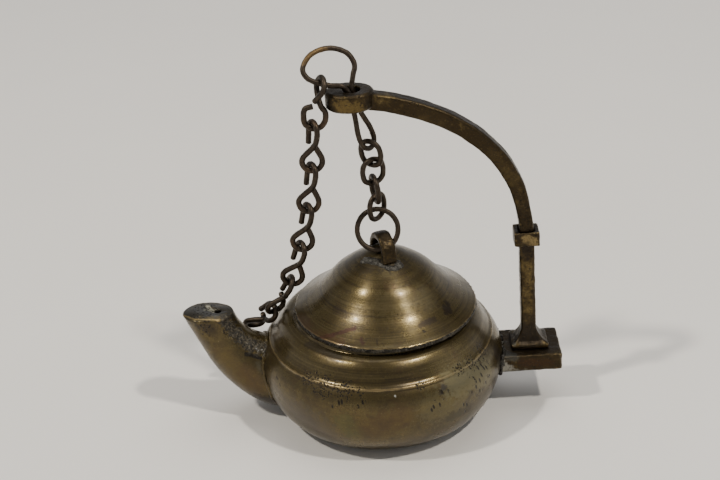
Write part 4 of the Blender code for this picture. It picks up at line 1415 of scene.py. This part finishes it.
def make_side_chain():
    places = hinge_places(len(S_TWISTS))
    for index, (twist, arch_turn) in enumerate(zip(S_TWISTS, S_ARCH_TURNS)):
        above, below = places[index], places[index + 1]
        up = (above - below).normalized()
        level = Vector((0, 1, 0)).cross(up).normalized()
        right = Matrix.Rotation(math.radians(twist), 3, up) @ level
        facing = Matrix((right, up.cross(right), up)).transposed()
        points = s_link_path(math.radians(arch_turn))
        if index == 0:
            points = s_link_path(math.radians(arch_turn), S_FIRST_HOOK_RADIUS, 0.4)
            points = [Vector((point.x, -point.y, -point.z)) for point in points]
        path = smooth_path([facing @ point + (above + below) / 2 for point in points], 7)
        link = wire(f"side_link_{index + 1}", path, S_WIRE, False)
        stands_for(link, f"s_link_{index + 1}", slot="bronze_wire")


# Stage

CAMERA_PLACE = Vector((-5.156, -454.316, 304.948)) * MM
CAMERA_RIGHT = Vector((0.9984, -0.0269, -0.0502))
CAMERA_UP = Vector((0.0569, 0.4712, 0.8802))
CAMERA_LENS = 80.0
TABLE_HALF = 3.0
TABLE_DROP = 0.2 * MM
LIGHT_TARGET = Vector((0, 0, 0.05))
WARM = (1.0, 0.95, 0.87)
WHITE = (1.0, 1.0, 1.0)
LIGHTS = (
    ("left front light", (-0.735, -0.31, 1.10), 0.09, 9.8, WARM),
    ("right front light", (0.56, -0.46, 1.15), 0.09, 10.3, WARM),
    ("overhead light", (0.10, 0.45, 1.3), 1.2, 6.8, WHITE),
    ("right fill", (1.15, -0.30, 0.70), 0.9, 1.4, WHITE),
    ("left fill", (-1.15, -0.25, 0.65), 0.9, 0.4, WHITE),
)
ROOM_COLOUR = (0.95, 0.96, 1.0, 1)
ROOM_FADE = {"From Min": 0.0, "From Max": 0.55, "To Min": 0.80, "To Max": 0.18}


def make_camera():
    data = bpy.data.cameras.new("camera")
    data.lens = CAMERA_LENS
    data.sensor_width = 36.0
    data.clip_start = 0.01
    camera = bpy.data.objects.new("camera", data)
    back = CAMERA_RIGHT.cross(CAMERA_UP).normalized()
    right = CAMERA_UP.cross(back).normalized()
    turn = Matrix((right, back.cross(right), back)).transposed().to_4x4()
    camera.matrix_world = Matrix.Translation(CAMERA_PLACE) @ turn
    bpy.context.scene.collection.objects.link(camera)
    bpy.context.scene.camera = camera


def soft_light(name, place, size, power, colour):
    data = bpy.data.lights.new(name, "AREA")
    data.shape = "DISK"
    data.size = size
    data.energy = power
    data.color = colour
    lamp = bpy.data.objects.new(name, data)
    lamp.location = place
    lamp.rotation_euler = (Vector(place) - LIGHT_TARGET).to_track_quat("Z", "Y").to_euler()
    bpy.context.scene.collection.objects.link(lamp)


def make_table():
    bm = bmesh.new()
    bmesh.ops.create_grid(bm, x_segments=2, y_segments=2, size=TABLE_HALF)
    shade = Shade("pale table")
    place = shade.place()
    cloud = shade.grain(place, 0.012, 3.0, 0.5)
    fine = shade.grain(place, 0.25, 4.0, 0.6)
    tone = colours().table
    darker = tuple(c * 0.97 for c in tone)
    lighter = tuple(min(c * 1.03, 1) for c in tone)
    colour = shade.mix(cloud, darker, lighter)
    finish = shade.finish(colour, 0.85, shade.relief(fine, 0.05, 0.3), 0.0)
    table = keep("table", mesh_from(bm, "table"), finish)
    table.location.z = -TABLE_DROP


def make_world():
    """A dim room, lighter near the horizon where the pale backdrop stands."""
    world = bpy.data.worlds.new("soft room")
    world.use_nodes = True
    nodes, links = world.node_tree.nodes, world.node_tree.links
    backdrop = nodes["Background"]
    backdrop.inputs["Color"].default_value = ROOM_COLOUR
    facing = nodes.new("ShaderNodeTexCoord")
    height = nodes.new("ShaderNodeSeparateXYZ")
    links.new(facing.outputs["Generated"], height.inputs[0])
    fade = nodes.new("ShaderNodeMapRange")
    for name, value in ROOM_FADE.items():
        fade.inputs[name].default_value = value
    links.new(height.outputs[2], fade.inputs["Value"])
    links.new(fade.outputs[0], backdrop.inputs["Strength"])
    bpy.context.scene.world = world


# Operators


class LAMP_OT_stage(bpy.types.Operator):
    """Set the camera, the soft lights and the pale table"""

    bl_idname = "lamp.stage"
    bl_label = "Stage"

    def execute(self, context):
        make_camera()
        make_world()
        make_table()
        for light in LIGHTS:
            soft_light(*light)
        return {"FINISHED"}


class LAMP_OT_bowl(bpy.types.Operator):
    """Make the turned bowl"""

    bl_idname = "lamp.bowl"
    bl_label = "Bowl"

    def execute(self, context):
        make_bowl()
        return {"FINISHED"}


class LAMP_OT_spout(bpy.types.Operator):
    """Make the horn spout and the bead that joins it to the bowl"""

    bl_idname = "lamp.spout"
    bl_label = "Spout"

    def execute(self, context):
        make_spout()
        return {"FINISHED"}


class LAMP_OT_lid(bpy.types.Operator):
    """Make the domed lid, its loop and its ring"""

    bl_idname = "lamp.lid"
    bl_label = "Lid"

    def execute(self, context):
        make_lid()
        make_eyelet()
        make_lid_ring()
        return {"FINISHED"}


class LAMP_OT_handle(bpy.types.Operator):
    """Make the bracket, the post and the arm of the handle"""

    bl_idname = "lamp.handle"
    bl_label = "Handle"

    def execute(self, context):
        make_bracket()
        make_post()
        make_arm()
        return {"FINISHED"}


class LAMP_OT_chains(bpy.types.Operator):
    """Make the wire hanger, the oval links and the S links"""

    bl_idname = "lamp.chains"
    bl_label = "Hanger and chains"

    def execute(self, context):
        make_hanger()
        make_lid_chain()
        make_side_chain()
        return {"FINISHED"}


class LAMP_PT_sidebar(bpy.types.Panel):
    """Oil lamp"""

    bl_idname = "LAMP_PT_sidebar"
    bl_label = "Oil Lamp"
    bl_space_type = "VIEW_3D"
    bl_region_type = "UI"
    bl_category = "Oil Lamp"

    def draw(self, context):
        for group in (context.scene.lamp_sizes, context.scene.lamp_colours):
            for name in group.__annotations__:
                self.layout.prop(group, name)
        for operator in OPERATORS:
            self.layout.operator(operator.bl_idname)


OPERATORS = (
    LAMP_OT_stage,
    LAMP_OT_bowl,
    LAMP_OT_spout,
    LAMP_OT_lid,
    LAMP_OT_handle,
    LAMP_OT_chains,
)
CLASSES = (LampSizes, LampColours, *OPERATORS, LAMP_PT_sidebar)


def register():
    for kind in CLASSES:
        bpy.utils.register_class(kind)
    bpy.types.Scene.lamp_sizes = PointerProperty(type=LampSizes)
    bpy.types.Scene.lamp_colours = PointerProperty(type=LampColours)


def unregister():
    del bpy.types.Scene.lamp_colours
    del bpy.types.Scene.lamp_sizes
    for kind in reversed(CLASSES):
        bpy.utils.unregister_class(kind)


def main():
    register()
    bpy.ops.lamp.stage()
    bpy.ops.lamp.bowl()
    bpy.ops.lamp.spout()
    bpy.ops.lamp.lid()
    bpy.ops.lamp.handle()
    bpy.ops.lamp.chains()


if __name__ == "__main__":
    main()
